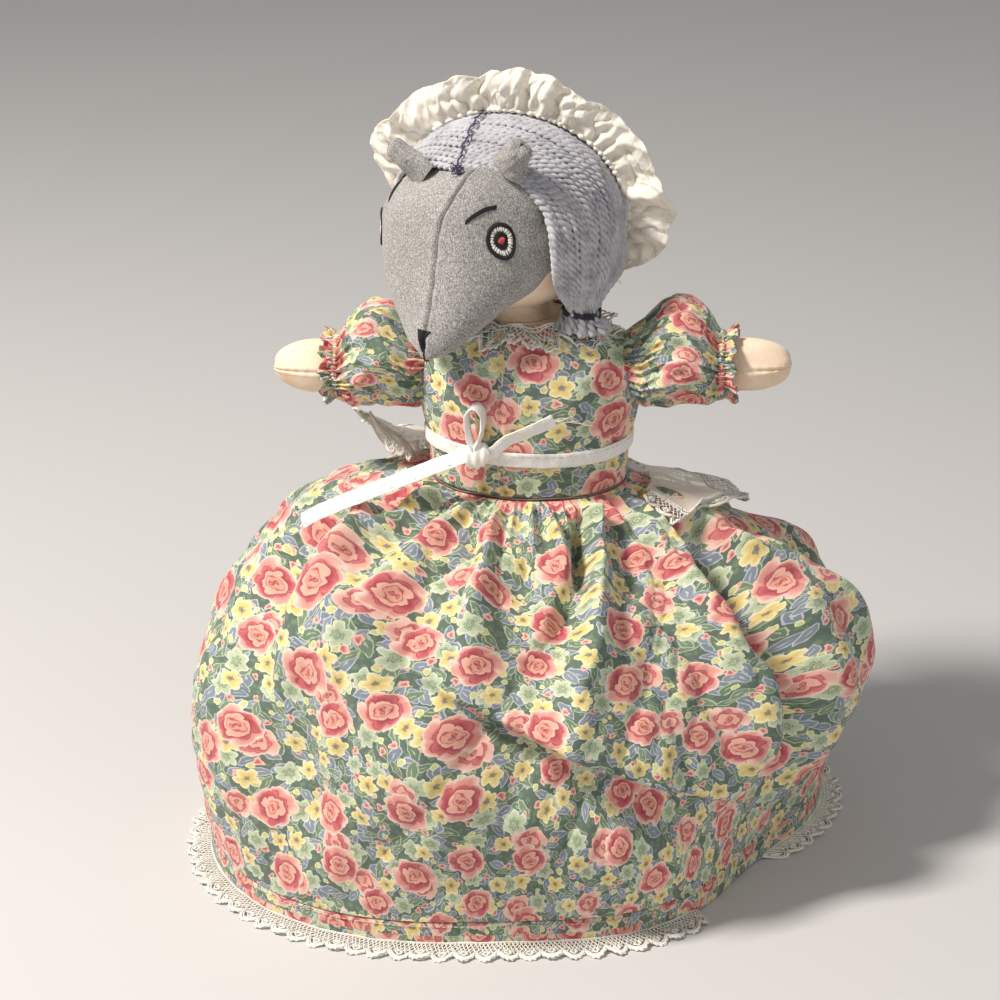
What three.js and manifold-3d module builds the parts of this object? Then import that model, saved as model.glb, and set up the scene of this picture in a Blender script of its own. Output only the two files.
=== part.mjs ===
// Topsy-turvy cloth doll: two dolls joined at the waist under one reversible skirt.
// Millimetres, +Z up, fronts toward -Y. The origin is on the floor, where the hidden doll's crown rests.
import * as THREE from 'three';
import { mergeVertices } from 'three/addons/utils/BufferGeometryUtils.js';
import Module from 'manifold-3d';

const wasm = await Module();
wasm.setup();

// Clearances and cloth
const seatGap = 0.3;
const cloth = 1.2;
const layerGap = 0.5;
const crownFlat = 0.5;

// Bodies of both dolls, measured from the waist seam
const waistHalfWidth = 45;
const waistHalfDepth = 34;
const chestHalfWidth = 50.5;
const chestHalfDepth = 37;
const chestRise = 46;
const shoulderRise = 70;
const torsoRise = 79;
const neckRadius = 16;
const collarFromTop = 7;
const collarNeck = 1.5;
const armholeHalfWidth = 10;
const armholeHalfDepth = 11.5;
const armholeHalfHeight = 8;

// Heads
const headHalfWidth = 47;
const headHalfDepth = 44;
const headHalfHeight = 41.5;
const headRise = 123.5;
const headBack = 2;
const headAside = -11;
const headTurn = -9;
const nodDown = 6;
const nodRoom = 0.5;
const lowerHeadHalfHeight = 46;
const lowerNeckLength = 13.2;

// Animal face over the front of the upper head
const faceTurn = -20;
const muzzleReach = 76;
const muzzleDip = 43;
const faceForward = 5;
const faceRise = 5;
const faceHalfWidth = 47.5;
const faceHalfHeight = 42;
const stitchHeight = 0.9;
const eyeRadius = 6.8;
const noseSize = 9;
const eyeAside = 27.5;
const eyeRise = 3;
const browAside = 19;
const browRise = 14;
const browHalfLength = 6.5;
const browHalfHeight = 0.9;
const secondFaceHalfWidth = 33;
const secondFaceHalfHeight = 34;
const lowerFaceHalfWidth = 34;
const lowerFaceHalfHeight = 36;
const smallEyeAside = 13;
const smallMouthHalfWidth = 6.5;
const smallMouthHalfHeight = 1.8;

// Ears
const earWidth = 22;
const earHeight = 14;
const earThickness = 5;
const leftEarPlace = [-20, -36, 28];
const rightEarPlace = [24, -31, 30.8];
const leftEarLean = 50;
const rightEarLean = 30;
const earTip = 26;
const earFoldBack = 8;

// Hair of looped yarn
const hairSide = 7;
const hairBack = 7;
const hairTop = 6;
const hairBottom = -34;
const lowerHairTop = 6;
const partingAside = -11;
const tieHeight = 6;
const tuftLength = 7;
const lockAside = 40;
const leftLockBack = 7;
const rightLockBack = -15;

// Mob cap behind the upper head
const capSet = 14;
const capTilt = 13;
const capDepth = 46;
const capFullness = 0.13;
const capNape = 36;
const napeFrill = 1.5;
const elasticThickness = 2.6;
const elasticSeat = 0.9;
const frillWidth = 20;
const frillTurn = 17;
const frillWaves = 13;
const frillWave = 3.6;
const frillLean = 3;

// Arms and sleeves
const shoulderHinge = 54;
const leftShoulderRise = 51;
const rightShoulderRise = 57;
const armLength = 68;
const armHalfHeight = 12.6;
const armHalfDepth = 10.8;
const armPinch = 1.5;
const leftArmTilt = -3;
const rightArmTilt = 2;
const sleevePuff = 25;
const sleeveLength = 42;
const sleeveLift = 7;
const cuffClearance = 0.8;
const cuffStart = 35;
const cuffFlare = 2.2;
const elasticWidth = 2.4;
const elasticDepth = 0.8;
const lowerSleevePuff = 20;
const lowerArmTilt = 20;

// Skirt, measured on the floor and at its fullest
const skirtMeanRadius = 149;
const skirtStretch = 24;
const skirtStretchAngle = 22;
const tuckHeight = 105;
const hemTuckAngle = -12;
const hemTuckSpread = 24;
const hemTuck = -24;
const hemFrontAngle = -62;
const hemFrontSpread = 22;
const hemFront = 8;
const skirtLean = 11;
const hemSpread = 0.985;
const bandHeight = 14;
const bandThickness = 4;
const hemLaceReach = 12;
const gatherCount = 9;
const gatherDepth = 1.7;
const foldDepth = 4.5;

// Apron and tape
const tapeWidth = 9;
const tapeThickness = 1.4;
const bandRise = 20;
const apronStart = 4;
const apronEnd = 172;
const apronSideReach = 0.27;
const apronBackReach = 0.5;
const apronLiftLeft = 24;
const apronLiftRight = 10;
const skirtLength = 280;
const apronLace = 14;
const apronRadius = 100;
const apronTop = 0.07;
const apronGap = 2;
const apronRipple = 2.5;
const knotAside = -19;
const knotRise = 3;
const knotHalf = 6.5;
const knotDepth = 8;
const knotStand = 0.2;
const loopHeight = 27;
const loopHalfWidth = 6;
const longTailRoute = [[-30, -7, -9], [-58, -12, -21], [-80, -11, -33]];
const shortTailRoute = [[14, -2, 8], [24, -2, 13], [36, -1, 19]];

// The doll stands on the lower crown, so the waist is as high as the lower doll is tall
const waistHeight = torsoRise + seatGap + lowerNeckLength + 2 * lowerHeadHalfHeight
  + lowerHairTop - crownFlat;

const degrees = THREE.MathUtils.degToRad;
const far = 300;
const doll = new THREE.Group();

// Materials
function material(color, roughness) {
  return new THREE.MeshStandardMaterial({ color, roughness, metalness: 0 });
}
const muslin = material('#e9cdb2', 0.9);
const flannel = material('#8b8c90', 0.95);
const yarn = material('#a5a3b2', 0.95);
const thread = material('#17161a', 0.8);
const ribbon = material('#34303a', 0.8);
const floral = material('#8a8f7c', 0.9);
const plain = material('#a64850', 0.9);
const capCloth = material('#e9e2d0', 0.9);
const sheer = material('#d8cbb9', 0.9);
const lace = material('#f0ece2', 0.95);
const tape = material('#f3f1ec', 0.8);
const brown = material('#6b4630', 0.95);

// Geometry from points and triangles, turned so that its faces point out
function solidFrom(points, faces) {
  const geometry = new THREE.BufferGeometry().setFromPoints(points);
  let volume = 0;
  for (const [a, b, c] of faces) {
    volume += points[a].dot(points[b].clone().cross(points[c])) / 6;
  }
  const turned = volume < 0 ? faces.map(([a, b, c]) => [a, c, b]) : faces;
  geometry.setIndex(turned.flat());
  return geometry;
}

// Rings of points joined in order, with a point closing each end
function loft(rings) {
  const around = rings[0].length;
  const points = rings.flat();
  const middle = (ring) => ring.reduce((sum, p) => sum.add(p), new THREE.Vector3()).divideScalar(around);
  points.push(middle(rings[0]), middle(rings.at(-1)));
  const start = points.length - 2;
  const end = points.length - 1;
  const top = (rings.length - 1) * around;
  const faces = [];
  for (let j = 0; j < around; j++) {
    const next = (j + 1) % around;
    for (let i = 0; i < top; i += around) {
      faces.push([i + j, i + next, i + next + around], [i + j, i + next + around, i + j + around]);
    }
    faces.push([start, next, j], [end, top + j, top + next]);
  }
  return solidFrom(points, faces);
}

// Closed cross-sections joined in order and round to the first again
function hoop(sections) {
  const around = sections[0].length;
  const faces = [];
  sections.forEach((section, i) => {
    const here = i * around;
    const there = ((i + 1) % sections.length) * around;
    for (let j = 0; j < around; j++) {
      const next = (j + 1) % around;
      faces.push([here + j, there + j, there + next], [here + j, there + next, here + next]);
    }
  });
  return solidFrom(sections.flat(), faces);
}

// A thin sheet: two grids of points, one over the other, joined along their edges, or closed all round
function sheet(front, back, closed = false) {
  const rows = front.length;
  const columns = front[0].length;
  const points = [...front.flat(), ...back.flat()];
  const under = rows * columns;
  const faces = [];
  const wall = (a, b) => faces.push([a, b, b + under], [a, b + under, a + under]);
  for (let j = 0; j < (closed ? columns : columns - 1); j++) {
    const next = (j + 1) % columns;
    for (let i = 0; i < under - columns; i += columns) {
      const [a, b, c, d] = [i + j, i + next, i + columns + next, i + columns + j];
      faces.push([a, c, b], [a, d, c], [a + under, b + under, c + under], [a + under, c + under, d + under]);
    }
    wall(j, next);
    wall(under - columns + next, under - columns + j);
  }
  for (let i = 0; !closed && i < under - columns; i += columns) {
    wall(i + columns, i);
    wall(i + columns - 1, i + 2 * columns - 1);
  }
  return solidFrom(points, faces);
}

function toSolid(geometry) {
  const bare = geometry.clone();
  bare.deleteAttribute('normal');
  bare.deleteAttribute('uv');
  const merged = mergeVertices(bare, 1e-3);
  return new wasm.Manifold(new wasm.Mesh({
    numProp: 3,
    vertProperties: new Float32Array(merged.attributes.position.array),
    triVerts: new Uint32Array(merged.index.array),
  }));
}

function toGeometry(solid) {
  const mesh = solid.getMesh();
  const geometry = new THREE.BufferGeometry();
  geometry.setAttribute('position', new THREE.BufferAttribute(new Float32Array(mesh.vertProperties), 3));
  geometry.setIndex(new THREE.BufferAttribute(new Uint32Array(mesh.triVerts), 1));
  return geometry;
}

function cut(geometry, ...cutters) {
  return toGeometry(cutters.reduce((solid, cutter) => solid.subtract(toSolid(cutter)), toSolid(geometry)));
}

function common(geometry, ...others) {
  return toGeometry(others.reduce((solid, other) => solid.intersect(toSolid(other)), toSolid(geometry)));
}

function add(parent, name, geometry, look) {
  const mesh = new THREE.Mesh(geometry, look);
  mesh.name = name;
  parent.add(mesh);
  return mesh;
}

function block(x0, x1, y0, y1, z0, z1) {
  return new THREE.BoxGeometry(x1 - x0, y1 - y0, z1 - z0)
    .translate((x0 + x1) / 2, (y0 + y1) / 2, (z0 + z1) / 2);
}

function ball(halfWidth, halfDepth, halfHeight, around = 20, rows = 10) {
  return new THREE.SphereGeometry(1, around, rows).rotateX(Math.PI / 2)
    .scale(halfWidth, halfDepth, halfHeight);
}

// A stuffed form that swells and tapers: stations of height, half width and half depth along a smooth line
function stations(list) {
  return new THREE.CatmullRomCurve3(list.map((s) => new THREE.Vector3(...s)), false, 'centripetal');
}

function ovalRing(height, halfWidth, halfDepth, around) {
  const ring = [];
  for (let j = 0; j < around; j++) {
    const angle = (2 * Math.PI * j) / around;
    ring.push(new THREE.Vector3(halfWidth * Math.cos(angle), halfDepth * Math.sin(angle), height));
  }
  return ring;
}

// One station of the form's line, moved off its surface by an offset
function station(line, share, offset) {
  const here = line.getPoint(share);
  const along = line.getTangent(share);
  const slope = Math.hypot(along.x, along.y);
  return {
    height: here.x - (offset * along.y) / slope,
    halfWidth: here.y + (offset * along.x) / slope,
    halfDepth: here.z + (offset * along.x) / slope,
  };
}

function stuffed(list, offset = 0, steps = 8, around = 18) {
  const line = stations(list);
  const rings = [];
  for (let i = 0; i <= steps; i++) {
    const { height, halfWidth, halfDepth } = station(line, i / steps, offset);
    const past = (Number(i === steps) - Number(i === 0)) * offset;
    rings.push(ovalRing(height + past, halfWidth, halfDepth, around));
  }
  return loft(rings);
}

// A flat tape swept along chosen points, its width held along a given direction
function strip(points, across, width, thickness, steps = 10) {
  const path = new THREE.CatmullRomCurve3(points, false, 'centripetal');
  const rings = [];
  for (let i = 0; i <= steps; i++) {
    const here = path.getPoint(i / steps);
    const along = path.getTangent(i / steps);
    const normal = along.clone().cross(across).normalize();
    const wide = normal.clone().cross(along).normalize();
    const corner = (w, n) => here.clone().addScaledVector(wide, (w * width) / 2)
      .addScaledVector(normal, (n * thickness) / 2);
    rings.push([corner(-1, -1), corner(1, -1), corner(1, 1), corner(-1, 1)]);
  }
  return loft(rings);
}

const torsoStations = [
  [seatGap / 2, waistHalfWidth, waistHalfDepth],
  [bandRise, waistHalfWidth + 1.5, waistHalfDepth + 2],
  [chestRise, chestHalfWidth, chestHalfDepth],
  [(chestRise + shoulderRise) / 2 + 3, chestHalfWidth - 2, chestHalfDepth - 3],
  [shoulderRise, chestHalfWidth - 9, chestHalfDepth - 8],
  [torsoRise - 2.5, neckRadius + 11, neckRadius + 8],
  [torsoRise, neckRadius + 5, neckRadius + 4],
];

function torso() {
  return stuffed(torsoStations);
}

// Cloth lying on the torso between two offsets, from one height to another
function torsoCloth(inner, thickness, from, to) {
  const outside = stuffed(torsoStations, inner + thickness);
  return common(cut(outside, stuffed(torsoStations, inner)), block(-far, far, -far, far, from, to));
}

// The bodice, open at the neck and at both armholes
function bodice(leftRise, rightRise) {
  const wall = torsoCloth(seatGap, cloth, seatGap, torsoRise - 1.5);
  const armhole = (side, rise) => ball(armholeHalfWidth, armholeHalfDepth, armholeHalfHeight, 10, 6)
    .translate(side * shoulderHinge, 0, rise);
  return cut(wall, armhole(-1, leftRise), armhole(1, rightRise));
}

const armStations = [
  [0, armPinch, armHalfDepth - 2],
  [9, armPinch + 5, armHalfDepth - 1],
  [armLength * 0.3, armHalfHeight - 2, armHalfDepth - 0.5],
  [armLength * 0.6, armHalfHeight, armHalfDepth],
  [armLength * 0.8, armHalfHeight - 0.8, armHalfDepth - 1],
  [armLength * 0.94, armHalfHeight - 4.6, armHalfDepth - 4],
  [armLength, 2.5, 2],
];

// An arm along +X from its hinge, pinched flat where it is sewn to the shoulder
function arm() {
  return stuffed(armStations, 0, 8, 12).rotateY(Math.PI / 2);
}

// A puffed sleeve round the arm, from the armhole to a small frill past the cuff
function sleeve(puff) {
  const cuff = armHalfHeight + cuffClearance;
  const outside = [
    [-4, puff * 0.66], [7, puff * 0.93], [18, puff], [cuffStart - 6, puff * 0.84],
    [cuffStart, cuff + cloth], [cuffStart + elasticWidth + 2 * seatGap, cuff + cloth],
    [sleeveLength, cuff + cloth + cuffFlare],
  ];
  const inside = outside.map(([x, r]) => [x, Math.max(r - cloth, cuff)]).reverse();
  const profile = [...outside, ...inside, outside[0]].map(([x, r]) => new THREE.Vector2(r, x));
  const geometry = new THREE.LatheGeometry(profile, 14).rotateZ(-Math.PI / 2);
  const position = geometry.attributes.position;
  for (let i = 0; i < position.count; i++) {
    const share = THREE.MathUtils.clamp(position.getX(i) / cuffStart, 0, 1);
    position.setZ(i, position.getZ(i) + sleeveLift * Math.sin(Math.PI * share));
  }
  return geometry;
}

function cuffElastic() {
  const seat = armHalfHeight + cuffClearance + cloth + seatGap;
  const start = cuffStart + seatGap;
  const ring = [[start, seat + elasticDepth], [start + elasticWidth, seat + elasticDepth],
    [start + elasticWidth, seat], [start, seat]];
  const profile = [...ring, ring[0]].map(([x, r]) => new THREE.Vector2(r, x));
  return new THREE.LatheGeometry(profile, 14).rotateZ(-Math.PI / 2);
}

// One arm with its sleeve and cuff elastic, on either side of a torso
function addArm(parent, prefix, side, rise, tilt, puff) {
  const name = side < 0 ? 'left' : 'right';
  const limb = new THREE.Group();
  limb.position.set(side * shoulderHinge, 0, rise);
  limb.rotation.set(0, degrees(-side * tilt), side < 0 ? Math.PI : 0, 'YXZ');
  parent.add(limb);
  add(limb, `${prefix}arm_${name}`, arm(), muslin);
  limb.updateMatrix();
  const body = stuffed(torsoStations, cloth + 2 * seatGap).applyMatrix4(limb.matrix.clone().invert());
  add(limb, `${prefix}sleeve_${name}`, cut(sleeve(puff), body), prefix ? plain : floral);
  add(limb, `${prefix}cuff_elastic_${name}`, cuffElastic(), prefix ? plain : floral);
}

// Upper doll
const upper = new THREE.Group();
upper.position.z = waistHeight;
doll.add(upper);
add(upper, 'upper_torso', torso(), muslin);
add(upper, 'bodice', bodice(leftShoulderRise, rightShoulderRise), floral);
addArm(upper, '', -1, leftShoulderRise, leftArmTilt, sleevePuff);
addArm(upper, '', 1, rightShoulderRise, rightArmTilt, sleevePuff);

// The lace collar lies on the bodice round the neckline
const collarLace = torsoCloth(cloth + 2 * seatGap, stitchHeight,
  torsoRise - collarFromTop, torsoRise - collarNeck);
add(upper, 'collar_lace', collarLace, lace);

// Neck and head, the head turned aside and dipped on the neck
const headPivot = torsoRise + seatGap;
const headGroup = new THREE.Group();
headGroup.position.set(headAside, headBack, headRise);
headGroup.rotation.z = degrees(headTurn);
upper.add(headGroup);
headGroup.updateMatrix();

function head(grow = 0) {
  return ball(headHalfWidth + grow, headHalfDepth + grow, headHalfHeight + grow);
}

const neckStations = [
  [headPivot, neckRadius + 2, neckRadius + 1],
  [headPivot + 6, neckRadius, neckRadius],
  [headPivot + 14, neckRadius + 1, neckRadius + 1],
];
const neckSolid = stuffed(neckStations, 0, 3, 18).translate(headAside / 2, headBack / 2, 0);

// The face tapers forward and down to the nose, turned aside on the head; its two panels meet in the middle
const faceGroup = new THREE.Group();
faceGroup.rotation.z = degrees(faceTurn);
headGroup.add(faceGroup);
faceGroup.updateMatrix();

const faceShares = [
  [0, 1, 0.976], [0.17, 1, 1], [0.31, 0.955, 0.91], [0.49, 0.82, 0.65],
  [0.67, 0.62, 0.42], [0.83, 0.43, 0.25], [0.95, 0.25, 0.13], [1, 0.1, 0.05],
];
const faceStations = faceShares.map(([reach, width, height]) => (
  [muzzleReach * reach, faceHalfWidth * width, faceHalfHeight * height]));

function alongMuzzle(geometry) {
  return geometry.rotateX(degrees(90 + muzzleDip)).translate(0, -faceForward, faceRise);
}

function muzzle(offset = 0) {
  return alongMuzzle(stuffed(faceStations, offset, 8, 18));
}

// The neck ends in a hollow under the head, with room for the head and chin as they nod
const nodding = (geometry, nod) => geometry.rotateX(degrees(nod)).applyMatrix4(headGroup.matrix);
const chins = [0, nodDown].map((nod) => nodding(muzzle(seatGap).rotateZ(degrees(faceTurn)), nod));
add(upper, 'neck', cut(neckSolid, nodding(head(seatGap + nodRoom), 0), ...chins), muslin);
add(headGroup, 'head', head(), muslin);

const headInFace = (grow) => head(grow).rotateZ(degrees(-faceTurn));
const faceSolid = cut(muzzle(), headInFace(seatGap));
add(faceGroup, 'muzzle_left', common(faceSolid, block(-far, -seatGap / 2, -far, far, -far, far)), flannel);
add(faceGroup, 'muzzle_right', common(faceSolid, block(seatGap / 2, far, -far, far, -far, far)), flannel);

// Stitching on the face: a thin layer over the muzzle, within an outline
const stitchLayer = cut(muzzle(seatGap + stitchHeight), muzzle(seatGap), headInFace(seatGap));

function eyeOutline(side) {
  return new THREE.CylinderGeometry(eyeRadius, eyeRadius, 30, 12).scale(1, 1, 1.15)
    .rotateZ(side * degrees(50)).rotateX(degrees(12)).translate(side * eyeAside, -42, eyeRise);
}

function browOutline(side) {
  return block(-browHalfLength, browHalfLength, -12, 12, -browHalfHeight, browHalfHeight)
    .rotateY(side * degrees(-30)).rotateZ(side * degrees(40)).translate(side * browAside, -45, browRise);
}

const noseOutline = alongMuzzle(block(-noseSize, noseSize, 0, noseSize, muzzleReach - noseSize, far));
const mouthOutline = alongMuzzle(block(-1, 1, -far, 0, muzzleReach - 2 * noseSize, muzzleReach - 2));
add(faceGroup, 'nose_patch', common(stitchLayer, noseOutline), thread);
add(faceGroup, 'mouth_stitch', common(stitchLayer, mouthOutline), thread);
for (const [name, side] of [['left', -1], ['right', 1]]) {
  add(faceGroup, `eye_${name}`, common(stitchLayer, eyeOutline(side)), thread);
  add(faceGroup, `brow_${name}`, common(stitchLayer, browOutline(side)), thread);
}

// Hair: looped yarn over the top, sides and back, parted in the middle, open over the second face
function hairOuter(grow = 0) {
  return ball(headHalfWidth + hairSide + grow, headHalfDepth + hairBack + grow,
    headHalfHeight + hairTop + grow);
}

const secondFace = new THREE.CylinderGeometry(1, 1, 80, 20)
  .scale(secondFaceHalfWidth, 1, secondFaceHalfHeight).translate(0, 46, -7);
const faceOpening = new THREE.CylinderGeometry(1, 1, 80, 20)
  .scale(faceHalfWidth - 1, 1, faceHalfHeight - 1).translate(0, -46, -9).rotateZ(degrees(faceTurn));
const hairSolid = cut(hairOuter(), head(seatGap), muzzle(seatGap).rotateZ(degrees(faceTurn)), secondFace,
  faceOpening, block(-far, far, -far, far, -far, hairBottom));
const leftOfParting = block(-far, partingAside - seatGap / 2, -far, far, -far, far);
const rightOfParting = block(partingAside + seatGap / 2, far, -far, far, -far, far);
add(headGroup, 'hair_left', common(hairSolid, leftOfParting), yarn);
add(headGroup, 'hair_right', common(hairSolid, rightOfParting), yarn);

// Ears: folded pads, pinched at the seam where they hinge, trimmed to the hair and face that they lie on
const earStations = [
  [0, earWidth / 2 - 1, 0.6],
  [earHeight * 0.35, earWidth / 2, earThickness / 2],
  [earHeight * 0.75, earWidth / 2 - 2.5, earThickness / 2],
  [earHeight, earWidth / 2 - 7, 0.8],
];
const hairInFace = hairOuter(seatGap).rotateZ(degrees(-faceTurn));
const earPlaces = [['left', leftEarPlace, -leftEarLean], ['right', rightEarPlace, rightEarLean]];
for (const [name, place, lean] of earPlaces) {
  const ear = new THREE.Group();
  ear.position.set(...place);
  ear.rotation.set(degrees(earTip), degrees(lean), 0);
  faceGroup.add(ear);
  ear.updateMatrix();
  const away = ear.matrix.clone().invert();
  const hairUnder = [0, earFoldBack].map((fold) => (
    hairInFace.clone().applyMatrix4(away).rotateX(degrees(fold))));
  const pad = cut(stuffed(earStations, 0, 5, 12), ...hairUnder, muzzle(seatGap).applyMatrix4(away));
  add(ear, `ear_${name}`, pad, flannel);
}

const partingLayer = cut(hairOuter(seatGap + stitchHeight), hairOuter(seatGap));
add(headGroup, 'parting_stitch', common(partingLayer,
  block(partingAside - 1, partingAside + 1, -24, 3, 0, far)), ribbon);

// Below the ears each side is gathered in a tie, with a loose end under it
for (const [name, side, back] of [['left', -1, leftLockBack], ['right', 1, rightLockBack]]) {
  const lock = new THREE.Group();
  lock.position.set(side * lockAside, back, hairBottom - seatGap);
  headGroup.add(lock);
  add(lock, `lock_tie_${name}`, stuffed([[-tieHeight, 9, 7], [0, 10.5, 8]], 0, 1, 12), ribbon);
  const start = -tieHeight - seatGap;
  lock.updateMatrix();
  const shoulders = stuffed(torsoStations, cloth + 3 * seatGap + stitchHeight)
    .applyMatrix4(headGroup.matrix.clone().multiply(lock.matrix).invert());
  const tuft = stuffed([
    [start - tuftLength, 10, 6], [start - tuftLength / 2, 11, 7], [start, 8.5, 6.5],
  ], 0, 3, 12);
  add(lock, `hair_tuft_${name}`, cut(tuft, shoulders), yarn);
}

// The second face, embroidered on the back of the head
const headLayer = cut(head(seatGap + stitchHeight), head(seatGap));

function backSpot(x, z, halfWidth, halfHeight) {
  return common(headLayer, new THREE.CylinderGeometry(1, 1, 60, 12).scale(halfWidth, 1, halfHeight)
    .translate(x, 40, z));
}

add(headGroup, 'second_eye_left', backSpot(-smallEyeAside, 1, 3.6, 2.6), thread);
add(headGroup, 'second_eye_right', backSpot(smallEyeAside, 1, 3.6, 2.6), thread);
add(headGroup, 'second_mouth', backSpot(0, -19, smallMouthHalfWidth, smallMouthHalfHeight), plain);

// Mob cap: where a plane behind the head meets the hair, an elastic draws the cloth in
const seatHalves = [headHalfWidth + hairSide, headHalfDepth + hairBack, headHalfHeight + hairTop];
const capSlope = Math.tan(degrees(capTilt));

// Distance from the cap's axis to the hair, at one angle round the elastic
function seatRadius(angle, grow) {
  const [w, d, h] = seatHalves.map((half) => half + grow);
  const rise = Math.sin(angle);
  const a = (Math.cos(angle) / w) ** 2 + ((rise * capSlope) / d) ** 2 + (rise / h) ** 2;
  const b = (-2 * capSet * rise * capSlope) / d ** 2;
  const c = (capSet / d) ** 2 - 1;
  const radius = (-b + Math.sqrt(b * b - 4 * a * c)) / (2 * a);
  return rise < 0 ? Math.min(radius, (capNape + grow) / -rise) : radius;
}

function capPoint(angle, radius, back) {
  const rise = radius * Math.sin(angle);
  return new THREE.Vector3(radius * Math.cos(angle), capSet - rise * capSlope + back, rise);
}

const capGroup = new THREE.Group();
headGroup.add(capGroup);

function capElastic() {
  const sections = [];
  const around = 30;
  for (let i = 0; i < around; i++) {
    const angle = (2 * Math.PI * i) / around;
    const middle = seatRadius(angle, elasticSeat + elasticThickness / 2);
    const section = [];
    for (let j = 0; j < 5; j++) {
      const turn = (2 * Math.PI * j) / 5;
      section.push(capPoint(angle, middle + (elasticThickness / 2) * Math.cos(turn),
        (elasticThickness / 2) * Math.sin(turn)));
    }
    sections.push(section);
  }
  return hoop(sections);
}

// The crown is a bag of cloth behind the elastic, full at the back
function capCrown() {
  const around = 24;
  const rows = 5;
  const start = elasticThickness / 2 + seatGap;
  const ring = (row, inset) => {
    const lift = (Math.PI / 2) * (row / (rows + 0.6));
    const points = [];
    for (let i = 0; i < around; i++) {
      const angle = (2 * Math.PI * i) / around;
      const full = 1 + capFullness * Math.sin(2 * lift);
      const radius = (seatRadius(angle, elasticSeat + elasticThickness) * full - inset) * Math.cos(lift);
      points.push(capPoint(angle, radius, start + (capDepth - inset) * Math.sin(lift)));
    }
    return points;
  };
  const rings = [];
  for (let row = rows; row >= 0; row--) rings.push(ring(row, cloth));
  for (let row = 0; row <= rows; row++) rings.push(ring(row, 0));
  return loft(rings);
}

// The frill stands out in waves in front of the elastic
function capFrill() {
  const around = frillWaves * 4;
  const sections = [];
  for (let i = 0; i < around; i++) {
    const angle = (2 * Math.PI * i) / around;
    const start = seatRadius(angle, elasticSeat + elasticThickness + seatGap);
    const full = THREE.MathUtils.smoothstep(Math.sin(angle + degrees(frillTurn)), -0.35, 0.15);
    const width = THREE.MathUtils.lerp(napeFrill, frillWidth, full);
    const wave = (frillWave * Math.sin(frillWaves * angle) - frillLean) * (width / frillWidth);
    const at = (share, side) => capPoint(angle, start + width * share, wave * share + (side * cloth) / 2);
    sections.push([at(0, -1), at(1, -1), at(1, 1), at(0, 1)]);
  }
  return hoop(sections);
}

add(capGroup, 'cap_elastic', capElastic(), capCloth);
add(capGroup, 'cap_crown', capCrown(), capCloth);
add(capGroup, 'cap_frill', capFrill(), capCloth);

// Skirt: spread from the waist to the hem, and height, along one line
const waistStack = 2 * seatGap + 3 * cloth + layerGap;
const skirtLine = stations([
  [0, waistHeight - 1, 0], [0.08, waistHeight - 5, 0], [0.2, waistHeight - 13, 0],
  [0.36, waistHeight - 22, 0], [0.56, waistHeight - 32, 0], [0.75, waistHeight - 50, 0],
  [0.9, waistHeight - 77, 0],
  [0.98, waistHeight - 110, 0], [1, waistHeight - 140, 0], [hemSpread, bandHeight + seatGap, 0],
]);

// A smooth bump round one direction in plan
function bump(angle, middle, spread) {
  const away = ((angle - degrees(middle) + 3 * Math.PI) % (2 * Math.PI)) - Math.PI;
  return Math.exp(-((away / degrees(spread)) ** 2));
}

// Outline of the full skirt in plan, and of the lace on the floor, tucked in at the front right
function fullOutline(angle) {
  return skirtMeanRadius + skirtStretch * Math.cos(2 * (angle - degrees(skirtStretchAngle)));
}

function hemOutline(angle) {
  return fullOutline(angle) + hemTuck * bump(angle, hemTuckAngle, hemTuckSpread)
    + hemFront * bump(angle, hemFrontAngle, hemFrontSpread);
}

function skirtPoint(angle, share) {
  const { x: spread, y: height } = skirtLine.getPoint(share);
  const waistRadius = 1 / Math.hypot(Math.cos(angle) / (waistHalfWidth + waistStack),
    Math.sin(angle) / (waistHalfDepth + waistStack));
  const drop = waistHeight - height;
  const towardHem = THREE.MathUtils.smoothstep(drop, waistHeight - tuckHeight, waistHeight - bandHeight);
  const full = THREE.MathUtils.lerp(fullOutline(angle) - 3, hemOutline(angle) - hemLaceReach, towardHem);
  const soft = Math.sin(Math.PI * share) ** 0.7;
  const gathers = gatherDepth * Math.sin(gatherCount * angle) * Math.exp(-(((share - 0.25) / 0.22) ** 2));
  const folds = foldDepth * soft * (0.6 * Math.sin(5 * angle + 1.1) + 0.4 * Math.sin(3 * angle - 0.6));
  const lean = -skirtLean * Math.cos(angle) * Math.sin(Math.PI * Math.min(1, spread / hemSpread)) ** 0.8;
  return { radius: waistRadius + (full - waistRadius) * spread + folds, height: height + lean + gathers };
}

// Main folds: each has a direction and a spread in degrees, where it starts and ends down the skirt, its
// height in millimetres, and how far it swings round on its way down
const mainFolds = [
  [-42, 6, 0, 0.68, 6.5, -48], [-50, 6, 0.06, 0.62, -5.5, -50], [-11, 7, 0.06, 1, -6.5, -14],
  [-27, 8, 0.1, 0.95, 4.5, -12], [4, 7, 0.1, 0.9, 4, 6], [-166, 8, 0.3, 0.9, -5, 60],
  [-159, 8, 0.3, 0.85, 4.5, 110], [-84, 9, 0.3, 0.8, -3, -6],
];
const sagAngle = -62;
const sagSpread = 26;
const sagShare = 0.745;
const sagSlope = 0.0036;
const sagHeight = 6;

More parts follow.
